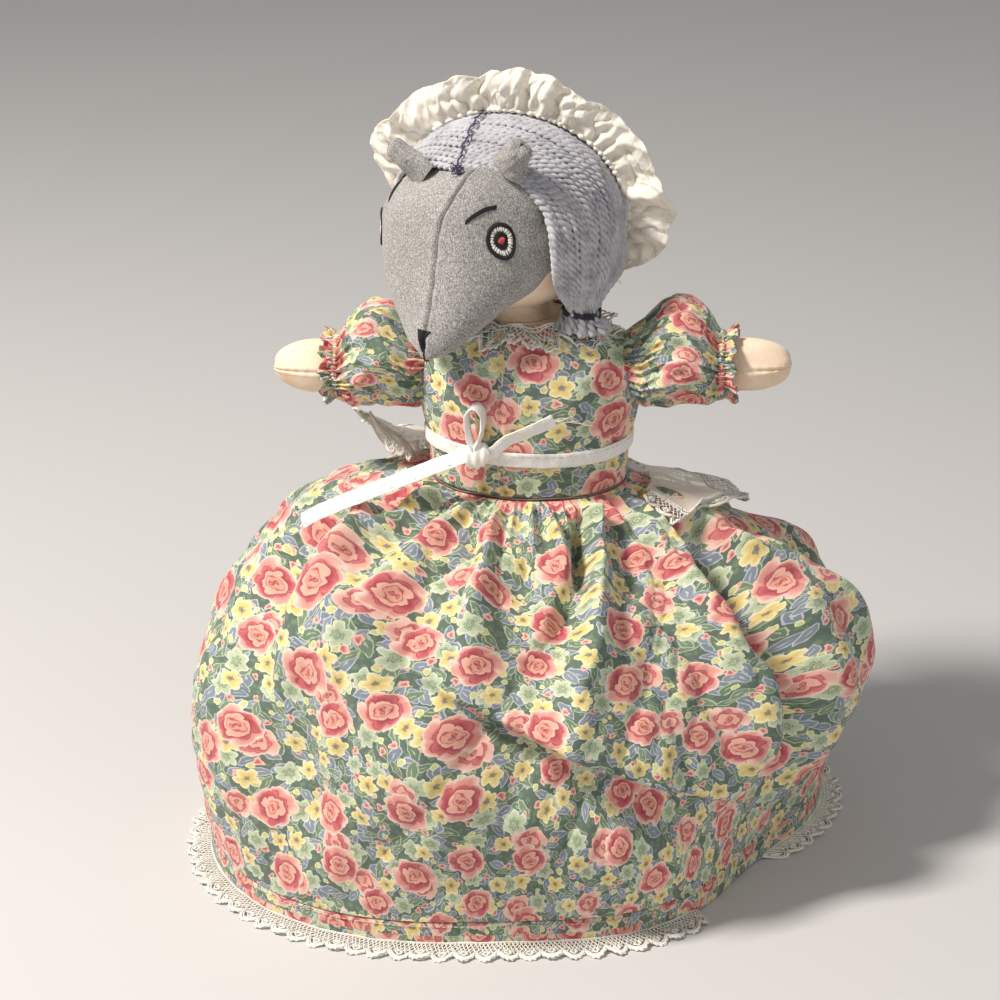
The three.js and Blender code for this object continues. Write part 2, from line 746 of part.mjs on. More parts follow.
function foldRelief(angle, share) {
  let lift = 0;
  for (const [middle, spread, start, end, height, swing] of mainFolds) {
    const along = THREE.MathUtils.smoothstep(share, start, start + 0.12)
      * (1 - THREE.MathUtils.smoothstep(share, end - 0.25, end));
    lift += height * along * bump(angle, middle + swing * (share - start), spread * (0.7 + 0.9 * share));
  }
  const aside = ((THREE.MathUtils.radToDeg(angle) - sagAngle + 540) % 360) - 180;
  const crease = sagShare + sagSlope * aside;
  const bulge = Math.exp(-(((share - crease - 0.07) / 0.06) ** 2));
  const drape = bulge - 0.9 * Math.exp(-(((share - crease) / 0.035) ** 2));
  lift += sagHeight * bump(angle, sagAngle, sagSpread) * drape;
  return lift * (1 - THREE.MathUtils.smoothstep(share, 0.93, 1));
}

// A point of the skirt moved off its outer face along the face's normal
function skirtAt(angle, share, offset) {
  const here = skirtPoint(angle, share);
  const ahead = skirtPoint(angle, Math.min(1, share + 0.01));
  const behind = skirtPoint(angle, Math.max(0, share - 0.01));
  const run = new THREE.Vector2(ahead.radius - behind.radius, ahead.height - behind.height).normalize();
  const lift = offset + foldRelief(angle, share);
  const radius = here.radius - run.y * lift;
  const height = here.height + run.x * lift;
  return new THREE.Vector3(radius * Math.cos(angle), radius * Math.sin(angle), height);
}

function skirtWall(outer, inner, rows = 11, around = 52) {
  const grid = (offset) => Array.from({ length: rows + 1 }, (_, i) => (
    Array.from({ length: around }, (__, j) => skirtAt((2 * Math.PI * j) / around, i / rows, offset))));
  return sheet(grid(outer), grid(inner), true);
}

add(doll, 'skirt', skirtWall(0, -cloth), floral);
add(doll, 'skirt_lining', skirtWall(-cloth - layerGap, -2 * cloth - layerGap), plain);

// Hem band: both skirts turned up and sewn together, standing on the floor
function hemRing(inner, outer, innerBottom, outerBottom, thickness, around = 36) {
  const sections = [];
  for (let j = 0; j < around; j++) {
    const angle = (2 * Math.PI * j) / around;
    const edge = skirtAt(angle, 1, 0).setZ(0).length();
    const at = (offset, height) => new THREE.Vector3((edge + offset) * Math.cos(angle),
      (edge + offset) * Math.sin(angle), height);
    sections.push([at(inner, innerBottom), at(outer, outerBottom), at(outer, outerBottom + thickness),
      at(inner, innerBottom + thickness)]);
  }
  return hoop(sections);
}

add(doll, 'hem_band', hemRing(-bandThickness, 0, 0, 0, bandHeight), floral);
add(doll, 'hem_lace', hemRing(seatGap, hemLaceReach, 3, 0.6, 0.8), lace);

// Waist tape over the bodice, tied in front with one loop and two tails
const tapeInner = cloth + 2 * seatGap;
add(upper, 'waist_tape',
  torsoCloth(tapeInner, tapeThickness, bandRise - tapeWidth / 2, bandRise + tapeWidth / 2), tape);

const [, tapeHalfWidth, tapeHalfDepth] = torsoStations[1].map((size) => size + tapeInner + tapeThickness);
const tapeFront = -tapeHalfDepth * Math.sqrt(1 - (knotAside / tapeHalfWidth) ** 2);
const knotMiddle = new THREE.Vector3(knotAside, tapeFront - seatGap - knotDepth / 2 - knotStand,
  bandRise + knotRise);
add(upper, 'bow_knot', ball(knotHalf, knotDepth / 2, knotHalf, 12, 8).translate(...knotMiddle), tape);

const loopStart = knotHalf + seatGap;
add(upper, 'bow_loop', hoop(Array.from({ length: 20 }, (_, j) => {
  const turn = (2 * Math.PI * j) / 20;
  const at = (grow, side) => new THREE.Vector3(
    knotMiddle.x + (loopHalfWidth + grow) * Math.sin(turn) * (0.75 - 0.25 * Math.cos(turn)),
    knotMiddle.y + (side * tapeWidth) / 2 - 1,
    knotMiddle.z + loopStart + loopHeight / 2 - (loopHeight / 2 + grow) * Math.cos(turn),
  );
  return [at(-tapeThickness, -1), at(0, -1), at(0, 1), at(-tapeThickness, 1)];
})), tape);
const fromKnot = (route) => route.map((point) => knotMiddle.clone().add(new THREE.Vector3(...point)));
add(upper, 'tail_long', strip(fromKnot([[-loopStart - 0.4, 0, -1.5], ...longTailRoute]),
  new THREE.Vector3(0.3, -0.78, -0.55), tapeWidth, tapeThickness), tape);
add(upper, 'tail_short', strip(fromKnot([[loopStart + 0.8, 0, 1.5], ...shortTailRoute]),
  new THREE.Vector3(0, 0, 1), tapeWidth * 0.8, tapeThickness, 8), tape);

// Apron: a stiff sheer cloth gathered under the tape at the back, standing off the skirt at its sides
function apronPoint(angle, part, offset) {
  const side = Math.cos(angle);
  const reach = apronSideReach + (apronBackReach - apronSideReach) * Math.sin(angle);
  const lift = (side > 0 ? apronLiftRight : apronLiftLeft) * side * side * part;
  const ripple = apronRipple * part * Math.sin(9 * angle);
  return skirtAt(angle, apronTop + (reach - apronTop) * part, apronGap + lift + ripple + offset);
}

function apronSheet() {
  const rows = 5;
  const columns = 18;
  const grid = (offset) => Array.from({ length: rows + 1 }, (_, i) => (
    Array.from({ length: columns + 1 }, (__, j) => (
      apronPoint(degrees(apronStart + ((apronEnd - apronStart) * j) / columns), i / rows, offset)))));
  return sheet(grid(cloth), grid(0));
}

// The lace is joined round the apron's sides and lower edge
function apronEdging() {
  const turn = THREE.MathUtils.radToDeg(apronLace / apronRadius);
  const seat = THREE.MathUtils.radToDeg(seatGap / apronRadius) * 1.4;
  const drop = apronLace / (skirtLength * (apronBackReach - apronTop));
  const corner = (out, part) => {
    const start = apronStart - (out ? turn : seat);
    const end = apronEnd + (out ? turn : seat);
    const low = 1 + (out ? drop : 0.012);
    const path = [[start, 0.15 * low], [start, 0.45 * low], [start, 0.75 * low], [start, low]];
    for (let i = 1; i < 16; i++) path.push([start + ((end - start) * i) / 16, low]);
    path.push([end, low], [end, 0.75 * low], [end, 0.45 * low], [end, 0.15 * low]);
    return path.map(([angle, share]) => apronPoint(degrees(angle), share, part));
  };
  const [innerLow, outerLow, outerTop, innerTop] = [corner(false, 0), corner(true, 0),
    corner(true, cloth), corner(false, cloth)];
  return loft(innerLow.map((p, i) => [p, outerLow[i], outerTop[i], innerTop[i]]));
}

add(doll, 'apron', apronSheet(), sheer);
add(doll, 'apron_lace', apronEdging(), lace);

// Lower doll, upside down inside the skirt, standing on its crown
const lower = new THREE.Group();
lower.position.z = waistHeight;
lower.rotation.y = Math.PI;
doll.add(lower);
add(lower, 'lower_torso', torso(), muslin);
add(lower, 'lower_bodice', bodice(leftShoulderRise, leftShoulderRise), plain);
for (const side of [-1, 1]) addArm(lower, 'lower_', side, leftShoulderRise, lowerArmTilt, lowerSleevePuff);

const crownHeight = lowerHeadHalfHeight + lowerHairTop;
const lowerHeadGroup = new THREE.Group();
lowerHeadGroup.position.z = torsoRise + seatGap + lowerNeckLength + lowerHeadHalfHeight;
lower.add(lowerHeadGroup);
lowerHeadGroup.updateMatrix();

function lowerHead(grow = 0) {
  return ball(headHalfWidth + grow, headHalfDepth + grow, lowerHeadHalfHeight + grow);
}

const lowerNeckTop = headPivot + lowerNeckLength + 6;
const lowerNeckSolid = stuffed([
  [headPivot, neckRadius + 2, neckRadius + 1], [(headPivot + lowerNeckTop) / 2, neckRadius, neckRadius],
  [lowerNeckTop, neckRadius + 1, neckRadius + 1],
], 0, 3, 18);
add(lower, 'lower_neck', cut(lowerNeckSolid, lowerHead(seatGap).applyMatrix4(lowerHeadGroup.matrix)), muslin);
add(lowerHeadGroup, 'lower_head', lowerHead(), muslin);

// Its hair is flattened at the crown, which is cut flat where it meets the floor, and open over the face
const lowerHairSolid = stuffed([
  [-32, headHalfWidth + 4, headHalfDepth + 4], [-8, headHalfWidth + 7, headHalfDepth + 7],
  [14, headHalfWidth + 6, headHalfDepth + 6], [32, headHalfWidth - 3, headHalfDepth - 3],
  [crownHeight - 8, headHalfWidth - 14, headHalfDepth - 14], [crownHeight - 2, 23, 21], [crownHeight, 16, 15],
], 0, 8, 20);
const lowerFace = new THREE.CylinderGeometry(1, 1, 80, 18)
  .scale(lowerFaceHalfWidth, 1, lowerFaceHalfHeight).translate(0, -46, -10);
const floorCut = block(-far, far, -far, far, crownHeight - crownFlat, far);
add(lowerHeadGroup, 'lower_hair', cut(lowerHairSolid, lowerHead(seatGap), lowerFace, floorCut), brown);

const lowerLayer = cut(lowerHead(seatGap + stitchHeight), lowerHead(seatGap));

function frontSpot(x, z, halfWidth, halfHeight) {
  return common(lowerLayer, new THREE.CylinderGeometry(1, 1, 60, 12).scale(halfWidth, 1, halfHeight)
    .translate(x, -40, z));
}

add(lowerHeadGroup, 'lower_eye_left', frontSpot(-smallEyeAside, 0, 3.4, 3.4), thread);
add(lowerHeadGroup, 'lower_eye_right', frontSpot(smallEyeAside, 0, 3.4, 3.4), thread);
add(lowerHeadGroup, 'lower_mouth', frontSpot(0, -18, smallMouthHalfWidth, smallMouthHalfHeight), plain);

export default doll;
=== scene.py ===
# A topsy-turvy cloth doll: the upper doll has an animal face, yarn hair and a mob cap, and a flowered
# dress whose skirt hides a second doll that stands on its head.
import math

import bpy
import numpy as np
from mathutils import Matrix, Vector
from mathutils.bvhtree import BVHTree


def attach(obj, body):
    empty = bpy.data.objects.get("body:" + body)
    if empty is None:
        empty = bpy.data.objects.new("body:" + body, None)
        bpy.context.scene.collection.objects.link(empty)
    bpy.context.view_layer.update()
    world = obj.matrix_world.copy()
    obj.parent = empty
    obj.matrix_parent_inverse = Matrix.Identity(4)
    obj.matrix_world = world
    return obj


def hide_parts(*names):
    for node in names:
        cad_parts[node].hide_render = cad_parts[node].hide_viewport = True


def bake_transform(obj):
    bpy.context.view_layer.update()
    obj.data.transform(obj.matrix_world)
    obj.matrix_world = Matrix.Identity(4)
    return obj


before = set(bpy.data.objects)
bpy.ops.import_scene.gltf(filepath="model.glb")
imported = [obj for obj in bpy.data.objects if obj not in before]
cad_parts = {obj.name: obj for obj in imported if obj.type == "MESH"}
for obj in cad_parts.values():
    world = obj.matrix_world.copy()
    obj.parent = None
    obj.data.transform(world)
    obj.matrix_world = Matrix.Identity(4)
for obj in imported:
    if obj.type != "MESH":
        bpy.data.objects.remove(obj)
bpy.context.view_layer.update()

# The camera: a little above the doll and to its left, as in the photograph, with a long lens.
look_at = Vector((-0.01383, 0.0, 0.17431))
azimuth = math.radians(8)
elevation = math.radians(22)
away = Vector((math.sin(azimuth) * math.cos(elevation), -math.cos(azimuth) * math.cos(elevation),
               math.sin(elevation)))
lens = bpy.data.cameras.new("lens")
lens.lens = 86.1
lens.sensor_width = 36
camera = bpy.data.objects.new("camera", lens)
camera.location = look_at + away * 1.15
camera.rotation_euler = (-away).to_track_quat("-Z", "Y").to_euler()
bpy.context.scene.collection.objects.link(camera)
bpy.context.scene.camera = camera


# The studio: a matt pale grey floor, a soft light sky and two large lamps, the brighter one from the
# front left. Colours render about as they are written.
def colour(hex_text, alpha=1.0):
    parts = [int(hex_text[i:i + 2], 16) / 255 for i in (1, 3, 5)]
    return [c / 12.92 if c <= 0.04045 else ((c + 0.055) / 1.055) ** 2.4 for c in parts] + [alpha]


def put(tree, kind, links=(), **settings):
    """Adds a node; links gives its inputs in order or by name, each a value, a node or a node's output."""
    node = tree.nodes.new("ShaderNode" + kind)
    for key, value in settings.items():
        setattr(node, key, value)
    for key, value in links.items() if isinstance(links, dict) else enumerate(links):
        if isinstance(value, bpy.types.Node):
            value = value.outputs[0]
        if isinstance(value, bpy.types.NodeSocket):
            tree.links.new(value, node.inputs[key])
        elif value is not None:
            node.inputs[key].default_value = value
    return node


def ramp(node, stops):
    """Sets a colour ramp's stops from pairs of place and colour."""
    elements = node.color_ramp.elements
    while len(elements) > 1:
        elements.remove(elements[-1])
    elements[0].position, elements[0].color = stops[0][0], stops[0][1]
    for place, shade in stops[1:]:
        elements.new(place).color = shade
    return node.outputs["Color"]


def new_material(name):
    material = bpy.data.materials.new(name)
    material.use_nodes = True
    material.node_tree.nodes.clear()
    return material, material.node_tree


floor_cloth, tree = new_material("floor")
matt = put(tree, "BsdfPrincipled", {"Base Color": colour("#cfcfd0"), "Roughness": 0.9,
                                    "Specular IOR Level": 0.2})
put(tree, "OutputMaterial", [matt])
half_floor = 6.0
floor_mesh = bpy.data.meshes.new("floor")
corners = [(x * half_floor, y * half_floor, 0) for x, y in ((-1, -1), (1, -1), (1, 1), (-1, 1))]
floor_mesh.from_pydata(corners, [], [(0, 1, 2, 3)])
floor_mesh.materials.append(floor_cloth)
floor = bpy.data.objects.new("floor", floor_mesh)
bpy.context.scene.collection.objects.link(floor)

sky = bpy.data.worlds.new("sky")
bpy.context.scene.world = sky
sky.use_nodes = True
tree = sky.node_tree
tree.nodes.clear()
path = put(tree, "LightPath")
seen = put(tree, "Math", [path.outputs["Is Camera Ray"], path.outputs["Is Glossy Ray"]], operation="MAXIMUM")
seen = put(tree, "Math", [seen, path.outputs["Is Transmission Ray"]], operation="MAXIMUM")
lit = put(tree, "Background", [colour("#f3f1ed"), 0.32])
shown = put(tree, "Background", [colour("#d6d6d8"), 1.0])
both = put(tree, "MixShader", [seen, lit, shown])
put(tree, "OutputWorld", [both])

for name, place, power, size, tint in (
    ("key_lamp", (-1.1, -0.7, 1.75), 56, 0.35, "#fff7ee"),
    ("fill_lamp", (1.3, -0.9, 0.9), 4, 1.2, "#f4f2ee"),
):
    lamp = bpy.data.lights.new(name, "AREA")
    lamp.energy = power
    lamp.size = size
    lamp.color = colour(tint)[:3]
    holder = bpy.data.objects.new(name, lamp)
    holder.location = place
    holder.rotation_euler = (Vector((0, 0, 0.18)) - Vector(place)).to_track_quat("-Z", "Y").to_euler()
    bpy.context.scene.collection.objects.link(holder)

bpy.context.scene.view_settings.view_transform = "Standard"


# Both torsos, both necks and all four arms are sewn of cream muslin and stuffed firmly with polyester.
# Each arm is two mitt shapes seamed together along its edge and pinched flat where it joins the shoulder.
# Muslin is a plain, slightly slubbed weave; the threads here are drawn 0.9 mm apart, coarser than real ones.
def smooth_line(points, shares):
    """Points along a centripetal Catmull-Rom line, at the given shares of it or that number of them."""
    if isinstance(shares, int):
        shares = np.linspace(0, 1, shares)
    points = np.array(points, float)
    last = len(points) - 1
    place = np.clip(np.asarray(shares, float), 0, 1) * last
    i = np.minimum(place.astype(int), last - 1)
    w = (place - i)[..., None]
    ends = np.vstack([2 * points[0] - points[1], points, 2 * points[-1] - points[-2]])
    p0, p1, p2, p3 = (ends[i + k] for k in range(4))
    d0, d1, d2 = (np.maximum(np.sqrt(np.linalg.norm(b - a, axis=-1, keepdims=True)), 1e-4)
                  for a, b in ((p0, p1), (p1, p2), (p2, p3)))
    t1 = ((p1 - p0) / d0 - (p2 - p0) / (d0 + d1) + (p2 - p1) / d1) * d1
    t2 = ((p2 - p1) / d1 - (p3 - p1) / (d1 + d2) + (p3 - p2) / d2) * d1
    return p1 + t1 * w + (3 * (p2 - p1) - 2 * t1 - t2) * w ** 2 + (2 * (p1 - p2) + t1 + t2) * w ** 3


def soft_step(x, low, high):
    t = np.clip((x - low) / (high - low), 0, 1)
    return t * t * (3 - 2 * t)


def near(x, middle, spread):
    """A smooth bump that is 1 at its middle."""
    return np.exp(-(((x - middle) / spread) ** 2))


def around_from(angle, middle):
    """Degrees from one direction in plan, from -180 to 180; the angle is in radians."""
    return (np.degrees(angle) - middle + 540) % 360 - 180


def polar(radius, angle, height):
    return np.stack([radius * np.cos(angle), radius * np.sin(angle), height], -1)


def unit(vectors):
    return vectors / np.linalg.norm(vectors, axis=-1, keepdims=True)


def run_along(path):
    """How far along a path each of its points lies."""
    return np.concatenate([[0], np.cumsum(np.linalg.norm(np.diff(path, axis=0), axis=-1))])


def gathers(angle, count, waver, power):
    """Round folds between sharp tucks, from 0 to 1."""
    return 1 - np.abs(np.sin(count * angle + waver)) ** power


def oval_form(stations, shares, angle, lift=0.0):
    """A stuffed form: oval rings of height, half width and half depth along a line, moved off its surface."""
    here = smooth_line(stations, shares)
    along = smooth_line(stations, shares + 0.003) - smooth_line(stations, shares - 0.003)
    slope = np.hypot(along[..., 1], np.maximum(np.abs(along[..., 0]), 1e-6))
    height = here[..., 0] - lift * along[..., 1] / slope
    out = lift * np.abs(along[..., 0]) / slope
    return np.stack([(here[..., 1] + out) * np.cos(angle), (here[..., 2] + out) * np.sin(angle), height], -1)


def grid(rows, columns, low=0.0, high=1.0, start=0.0, turn=math.tau):
    """Shares down and angles round, as two grids."""
    angle, share = np.meshgrid(start + np.linspace(0, turn, columns), np.linspace(low, high, rows))
    return share, angle


def grid_faces(rows, columns, wrap=False):
    i = np.arange(rows - 1)[:, None]
    j = np.arange(columns if wrap else columns - 1)[None, :]
    k = (j + 1) % columns
    a, b, c, d = i * columns + j, i * columns + k, (i + 1) * columns + k, (i + 1) * columns + j
    return np.stack([a, b, c, d], -1).reshape(-1, 4)


def laid_flat(points):
    """Place of each point of a grid on its flat cloth, in millimetres, from the grid's own mean steps."""
    across = np.linalg.norm(np.diff(points, axis=1), axis=-1).mean(0)
    down = np.linalg.norm(np.diff(points, axis=0), axis=-1).mean(1)
    u = np.concatenate([[0], np.cumsum(across)])
    v = np.concatenate([[0], np.cumsum(down)])
    return np.stack(np.meshgrid(u, -v), -1)


def placed(points, matrix):
    turn = np.array(matrix)
    return points @ turn[:3, :3].T + turn[:3, 3]


def make_piece(name, points, faces, look, body=None, cloth=None, replaces=()):
    """A smooth mesh object from points in millimetres and faces, with its cloth layout if it has one."""
    points = np.asarray(points, float).reshape(-1, 3)
    mesh = bpy.data.meshes.new(name)
    mesh.vertices.add(len(points))
    mesh.vertices.foreach_set("co", (points * 0.001).astype(np.float32).ravel())
    size = faces.shape[1]
    mesh.loops.add(faces.size)
    mesh.loops.foreach_set("vertex_index", faces.astype(np.int32).ravel())
    mesh.polygons.add(len(faces))
    mesh.polygons.foreach_set("loop_start", np.arange(0, faces.size, size, dtype=np.int32))
    mesh.update(calc_edges=True)
    if cloth is not None:
        layer = mesh.uv_layers.new(name="cloth")
        flat = np.asarray(cloth, float).reshape(-1, 2)[faces.ravel()]
        layer.data.foreach_set("uv", flat.astype(np.float32).ravel())
    mesh.polygons.foreach_set("use_smooth", np.ones(len(mesh.polygons), bool))
    mesh.materials.append(look)
    mesh.update()
    piece = bpy.data.objects.new(name, mesh)
    bpy.context.scene.collection.objects.link(piece)
    if body:
        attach(piece, body)
    if replaces:
        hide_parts(*replaces)
    return piece


def make_cloth(name, points, look, body, node, frame_of=None, turned=False, stretch=1, shift=0):
    """A piece from one grid of points, laid out flat as cloth, with its faces turned over if asked."""
    faces = grid_faces(*points.shape[:2])
    here = points if frame_of is None else placed(points, frame_of)
    return make_piece(name, here, faces[:, ::-1] if turned else faces, look, body,
                      laid_flat(points) * stretch + shift, (node,))


def thicken(piece, metres, offset=-1):
    thick = piece.modifiers.new("cloth_thickness", "SOLIDIFY")
    thick.thickness = metres
    thick.offset = offset


def woven(tree, shade, place, thread=0.8, rough=0.88, dent=0.3):
    """Matt woven cotton: fine threads both ways, a little slub and a soft sheen."""
    threads = put(tree, "VectorMath", [place, (math.tau / thread,) * 3], operation="MULTIPLY")
    parts = put(tree, "SeparateXYZ", [threads])
    warp = put(tree, "Math", [parts], operation="SINE")
    weft = put(tree, "Math", [parts.outputs[1]], operation="SINE")
    weave = put(tree, "Math", [warp, weft], operation="MULTIPLY")
    slub = put(tree, "TexNoise", {"Vector": place, "Scale": 0.7, "Detail": 5.0, "Roughness": 0.75})
    level = put(tree, "MapRange", {"Value": slub, "From Min": 0.3, "From Max": 0.7, "To Min": 0.9,
                                   "To Max": 1.06})
    fine = put(tree, "Math", [weave, 0.035, level], operation="MULTIPLY_ADD")
    if not isinstance(shade, bpy.types.NodeSocket):
        shade = shade[:3]
    toned = put(tree, "VectorMath", {0: shade, "Scale": fine}, operation="SCALE")
    height = put(tree, "Math", [weave, 0.3, slub], operation="MULTIPLY_ADD")
    dents = put(tree, "Bump", {"Height": height, "Strength": dent, "Distance": 0.0004})
    return put(tree, "BsdfPrincipled", {"Base Color": toned, "Roughness": rough,
                                        "Specular IOR Level": 0.25, "Sheen Weight": 0.15,
                                        "Sheen Roughness": 0.5, "Normal": dents})


def cotton(name, text, thread=0.8, rough=0.88, dent=0.3, blotch=None):
    """A dyed or natural cotton cloth, with soft uneven patches of a second tone where it has them."""
    material, tree = new_material(name)
    place = put(tree, "UVMap", uv_map="cloth")
    shade = colour(text)
    if blotch:
        cloud = put(tree, "TexNoise", {"Vector": place, "Scale": 0.06, "Detail": 3.0})
        cloud = put(tree, "MapRange", {"Value": cloud, "From Min": 0.42, "From Max": 0.68})
        shade = put(tree, "Mix", {0: cloud, 6: shade, 7: colour(blotch)}, data_type="RGBA").outputs[2]
    put(tree, "OutputMaterial", [woven(tree, shade, place, thread, rough, dent)])
    return material


head_turn, face_turn = -9, -20
upper = Matrix.Translation((0, 0, 190))
lower = upper @ Matrix.Rotation(math.pi, 4, "Y")
head_frame = Matrix.Translation((-11, 2, 313.5)) @ Matrix.Rotation(math.radians(head_turn), 4, "Z")
face_frame = head_frame @ Matrix.Rotation(math.radians(face_turn), 4, "Z")
lower_head_frame = lower @ Matrix.Translation((0, 0, 138.5))
skin_muslin = cotton("natural_muslin", "#f3dfc8", thread=0.9, blotch="#ecd0b2")
torso_stations = [(0.15, 45, 34), (20, 46.5, 36), (46, 50.5, 37), (61, 48.5, 34), (70, 41.5, 29),
                  (76.5, 27, 24), (79, 21, 20)]
share, angle = grid(64, 97)
for name, frame_of in (("upper", upper), ("lower", lower)):
    body_points = placed(oval_form(torso_stations, share, angle), frame_of)
    shoulder = body_points[-1].mean(0)
    body_points = np.concatenate([body_points, np.broadcast_to(shoulder, (1, 97, 3))])
    torso = make_cloth(name + "_stuffed_torso", body_points, skin_muslin, "doll", name + "_torso")

neck_shares = [(79.3, 18, 17), (84, 16.2, 16.2), (89, 16.2, 16.2), (95, 17.5, 17.5)]
lower_neck_shares = [(79.3, 18, 17), (86, 16, 16), (98.5, 17, 17)]
share, angle = grid(30, 73)
creases = 0.35 * np.sin(9 * angle + 14 * share) * np.sin(math.pi * share)
for name, body, stations, frame_of, node in (
    ("upper_neck", "neck", neck_shares, upper @ Matrix.Translation((-5.5, 1, 0)), "neck"),
    ("lower_stuffed_neck", "doll", lower_neck_shares, lower, "lower_neck"),
):
    neck_points = placed(oval_form(stations, share, angle, creases), frame_of)
    make_cloth(name, neck_points, skin_muslin, body, node)

arm_stations = [(0, 1.5, 8.8), (9, 6.5, 9.8), (20.4, 10.6, 10.3), (40.8, 12.6, 10.8), (54.4, 11.8, 9.8),
                (63.9, 8, 6.8), (67.2, 4.6, 3.8), (68, 0.3, 0.3)]
shoulder_out, left_rise, right_rise = 54, 51, 57
share, angle = grid(110, 121)
seam_off = np.minimum(np.abs(around_from(angle, 90)), np.abs(around_from(angle, -90))) / 57 * 11
seam_line = -0.55 * near(seam_off, 0, 0.5) + 0.3 * near(seam_off, 1.5, 0.9)
puckers = 0.16 * np.sin(share * 95) * near(seam_off, 0, 2.4)
dimples = 0.5 * np.sin(5.3 * share + 2 * np.cos(angle)) * np.sin(3 * angle + 7 * share)
dimples = dimples * soft_step(share, 0, 0.5) * soft_step(1 - share, 0, 0.2)
limb_points = oval_form(arm_stations, share, angle, seam_line + puckers + dimples)
limb_points = np.stack([limb_points[..., 2], limb_points[..., 1], -limb_points[..., 0]], -1)
limb_frames = {}
for prefix, frame_of, rises, tilts in (("", upper, (left_rise, right_rise), (-3, 2)),
                                       ("lower_", lower, (left_rise, left_rise), (20, 20))):
    for side, side_name, rise, tilt in zip((-1, 1), ("left", "right"), rises, tilts):
        limb = frame_of @ Matrix.Translation((side * shoulder_out, 0, rise))
        limb = limb @ Matrix.Rotation(math.radians(-side * tilt), 4, "Y")
        limb = limb @ Matrix.Rotation(math.pi if side < 0 else 0, 4, "Z")
        limb_frames[prefix + side_name] = limb
        arm = f"{prefix}arm_{side_name}"
        make_cloth(f"{prefix}stuffed_arm_{side_name}", limb_points, skin_muslin, arm, arm,
                             limb)


# The upper head is a stuffed muslin ball; only its throat and a strip above the face show.
# The lower doll's head is another, a little taller, and carries the whole doll on its yarn crown.
def ball_points(half):
    angle, rise = np.meshgrid(np.linspace(0, math.tau, 97), np.linspace(-math.pi / 2, math.pi / 2, 60))
    ball = np.stack([np.cos(angle) * np.cos(rise), np.sin(angle) * np.cos(rise), np.sin(rise)], -1)
    return ball * np.array(half)


head_half, lower_head_half = (47, 44, 41.5), (47, 44, 46)
for name, half, frame_of, body, node in (("stuffed_head", head_half, head_frame, "head", "head"),
                                         ("lower_stuffed_head", lower_head_half, lower_head_frame, "doll",
                                          "lower_head")):
    make_cloth(name, ball_points(half), skin_muslin, body, node, frame_of)


# The animal face: two panels of heathered grey wool flannel, seamed down the middle from the forehead to
# the nose and stuffed out into a pointed muzzle. Flannel is brushed: a felted, speckled mix of pale and
# dark fibres with a soft nap, quite matt. Its speckle is about 0.7 mm across.
def in_millimetres(tree):
    """Where a point lies on a piece that has no cloth layout."""
    place = put(tree, "TexCoord").outputs["Object"]
    return put(tree, "VectorMath", [place, (1000, 1000, 1000)], operation="MULTIPLY")


def flannel(name, darker=0.0):
    material, tree = new_material(name)
    place = in_millimetres(tree)
    stretch = put(tree, "VectorMath", [place, (1.0, 1.0, 0.55)], operation="MULTIPLY")
    speck = put(tree, "TexNoise", {"Vector": stretch, "Scale": 1.9, "Detail": 3.0, "Roughness": 0.85})
    fleck = put(tree, "TexNoise", {"Vector": place, "Scale": 4.0, "Detail": 1.0, "Distortion": 1.4})
    both = put(tree, "Math", [fleck, 0.55, speck], operation="MULTIPLY_ADD")
    fibres = put(tree, "MapRange", {"Value": both, "From Min": 0.56, "From Max": 1.0})
    heather = put(tree, "ValToRGB", [fibres])
    tone = ramp(heather, [(0.0, colour("#454444")), (0.28, colour("#777575")), (0.48, colour("#989694")),
                          (0.66, colour("#b5b3b1")), (0.92, colour("#e0dedb"))])
    cloud = put(tree, "TexNoise", {"Vector": place, "Scale": 0.035, "Detail": 2.0})
    level = put(tree, "MapRange", {"Value": cloud, "From Min": 0.3, "From Max": 0.7,
                                   "To Min": 0.9 - darker, "To Max": 1.06 - darker})
    toned = put(tree, "VectorMath", {0: tone, "Scale": level}, operation="SCALE")
    dents = put(tree, "Bump", {"Height": both, "Strength": 0.5, "Distance": 0.0006})
    cloth = put(tree, "BsdfPrincipled", {"Base Color": toned, "Roughness": 0.95,
                                         "Specular IOR Level": 0.15, "Sheen Weight": 0.3,
                                         "Sheen Roughness": 0.6, "Sheen Tint": colour("#dcdad8"),
                                         "Normal": dents})
    put(tree, "OutputMaterial", [cloth])
    return material


face_flannel = flannel("heathered_wool_flannel")
face_reach, face_half_width, face_half_height = 76, 47.5, 42
from_muzzle_to_face = Matrix.Translation((0, -5, 5)) @ Matrix.Rotation(math.radians(90 + 43), 4, "X")
muzzle_frame = face_frame @ from_muzzle_to_face
face_shares = [(0, 1, 0.976), (0.17, 1, 1), (0.31, 0.955, 0.91), (0.49, 0.82, 0.66), (0.67, 0.62, 0.44),
               (0.83, 0.4, 0.27), (0.95, 0.22, 0.16), (1, 0.09, 0.07)]
face_stations = [(face_reach * a, face_half_width * b, face_half_height * c) for a, b, c in face_shares]


def muzzle_surface(share, angle, lift=0.0):
    """Points of the face in the muzzle's own frame, with the middle seam sunk in and a little unevenness."""
    bare = oval_form(face_stations, share, angle)
    off_seam = np.abs(bare[..., 0])
    seam = -1.3 * near(off_seam, 0, 0.8) + 0.5 * near(off_seam, 2.2, 1.4)
    seam = seam * soft_step(1 - share, 0.0, 0.06)
    lumps = 0.5 * np.sin(2.3 * angle + 9 * share) * np.sin(7 * share + np.cos(2 * angle))
    lumps = lumps * np.sin(math.pi * share)
    tuck = 0.28 * np.sin(share * 60 + np.sin(angle)) * near(off_seam, 0, 5) * soft_step(1 - share, 0.02, 0.2)
    return oval_form(face_stations, share, angle, seam + lumps + tuck + lift)


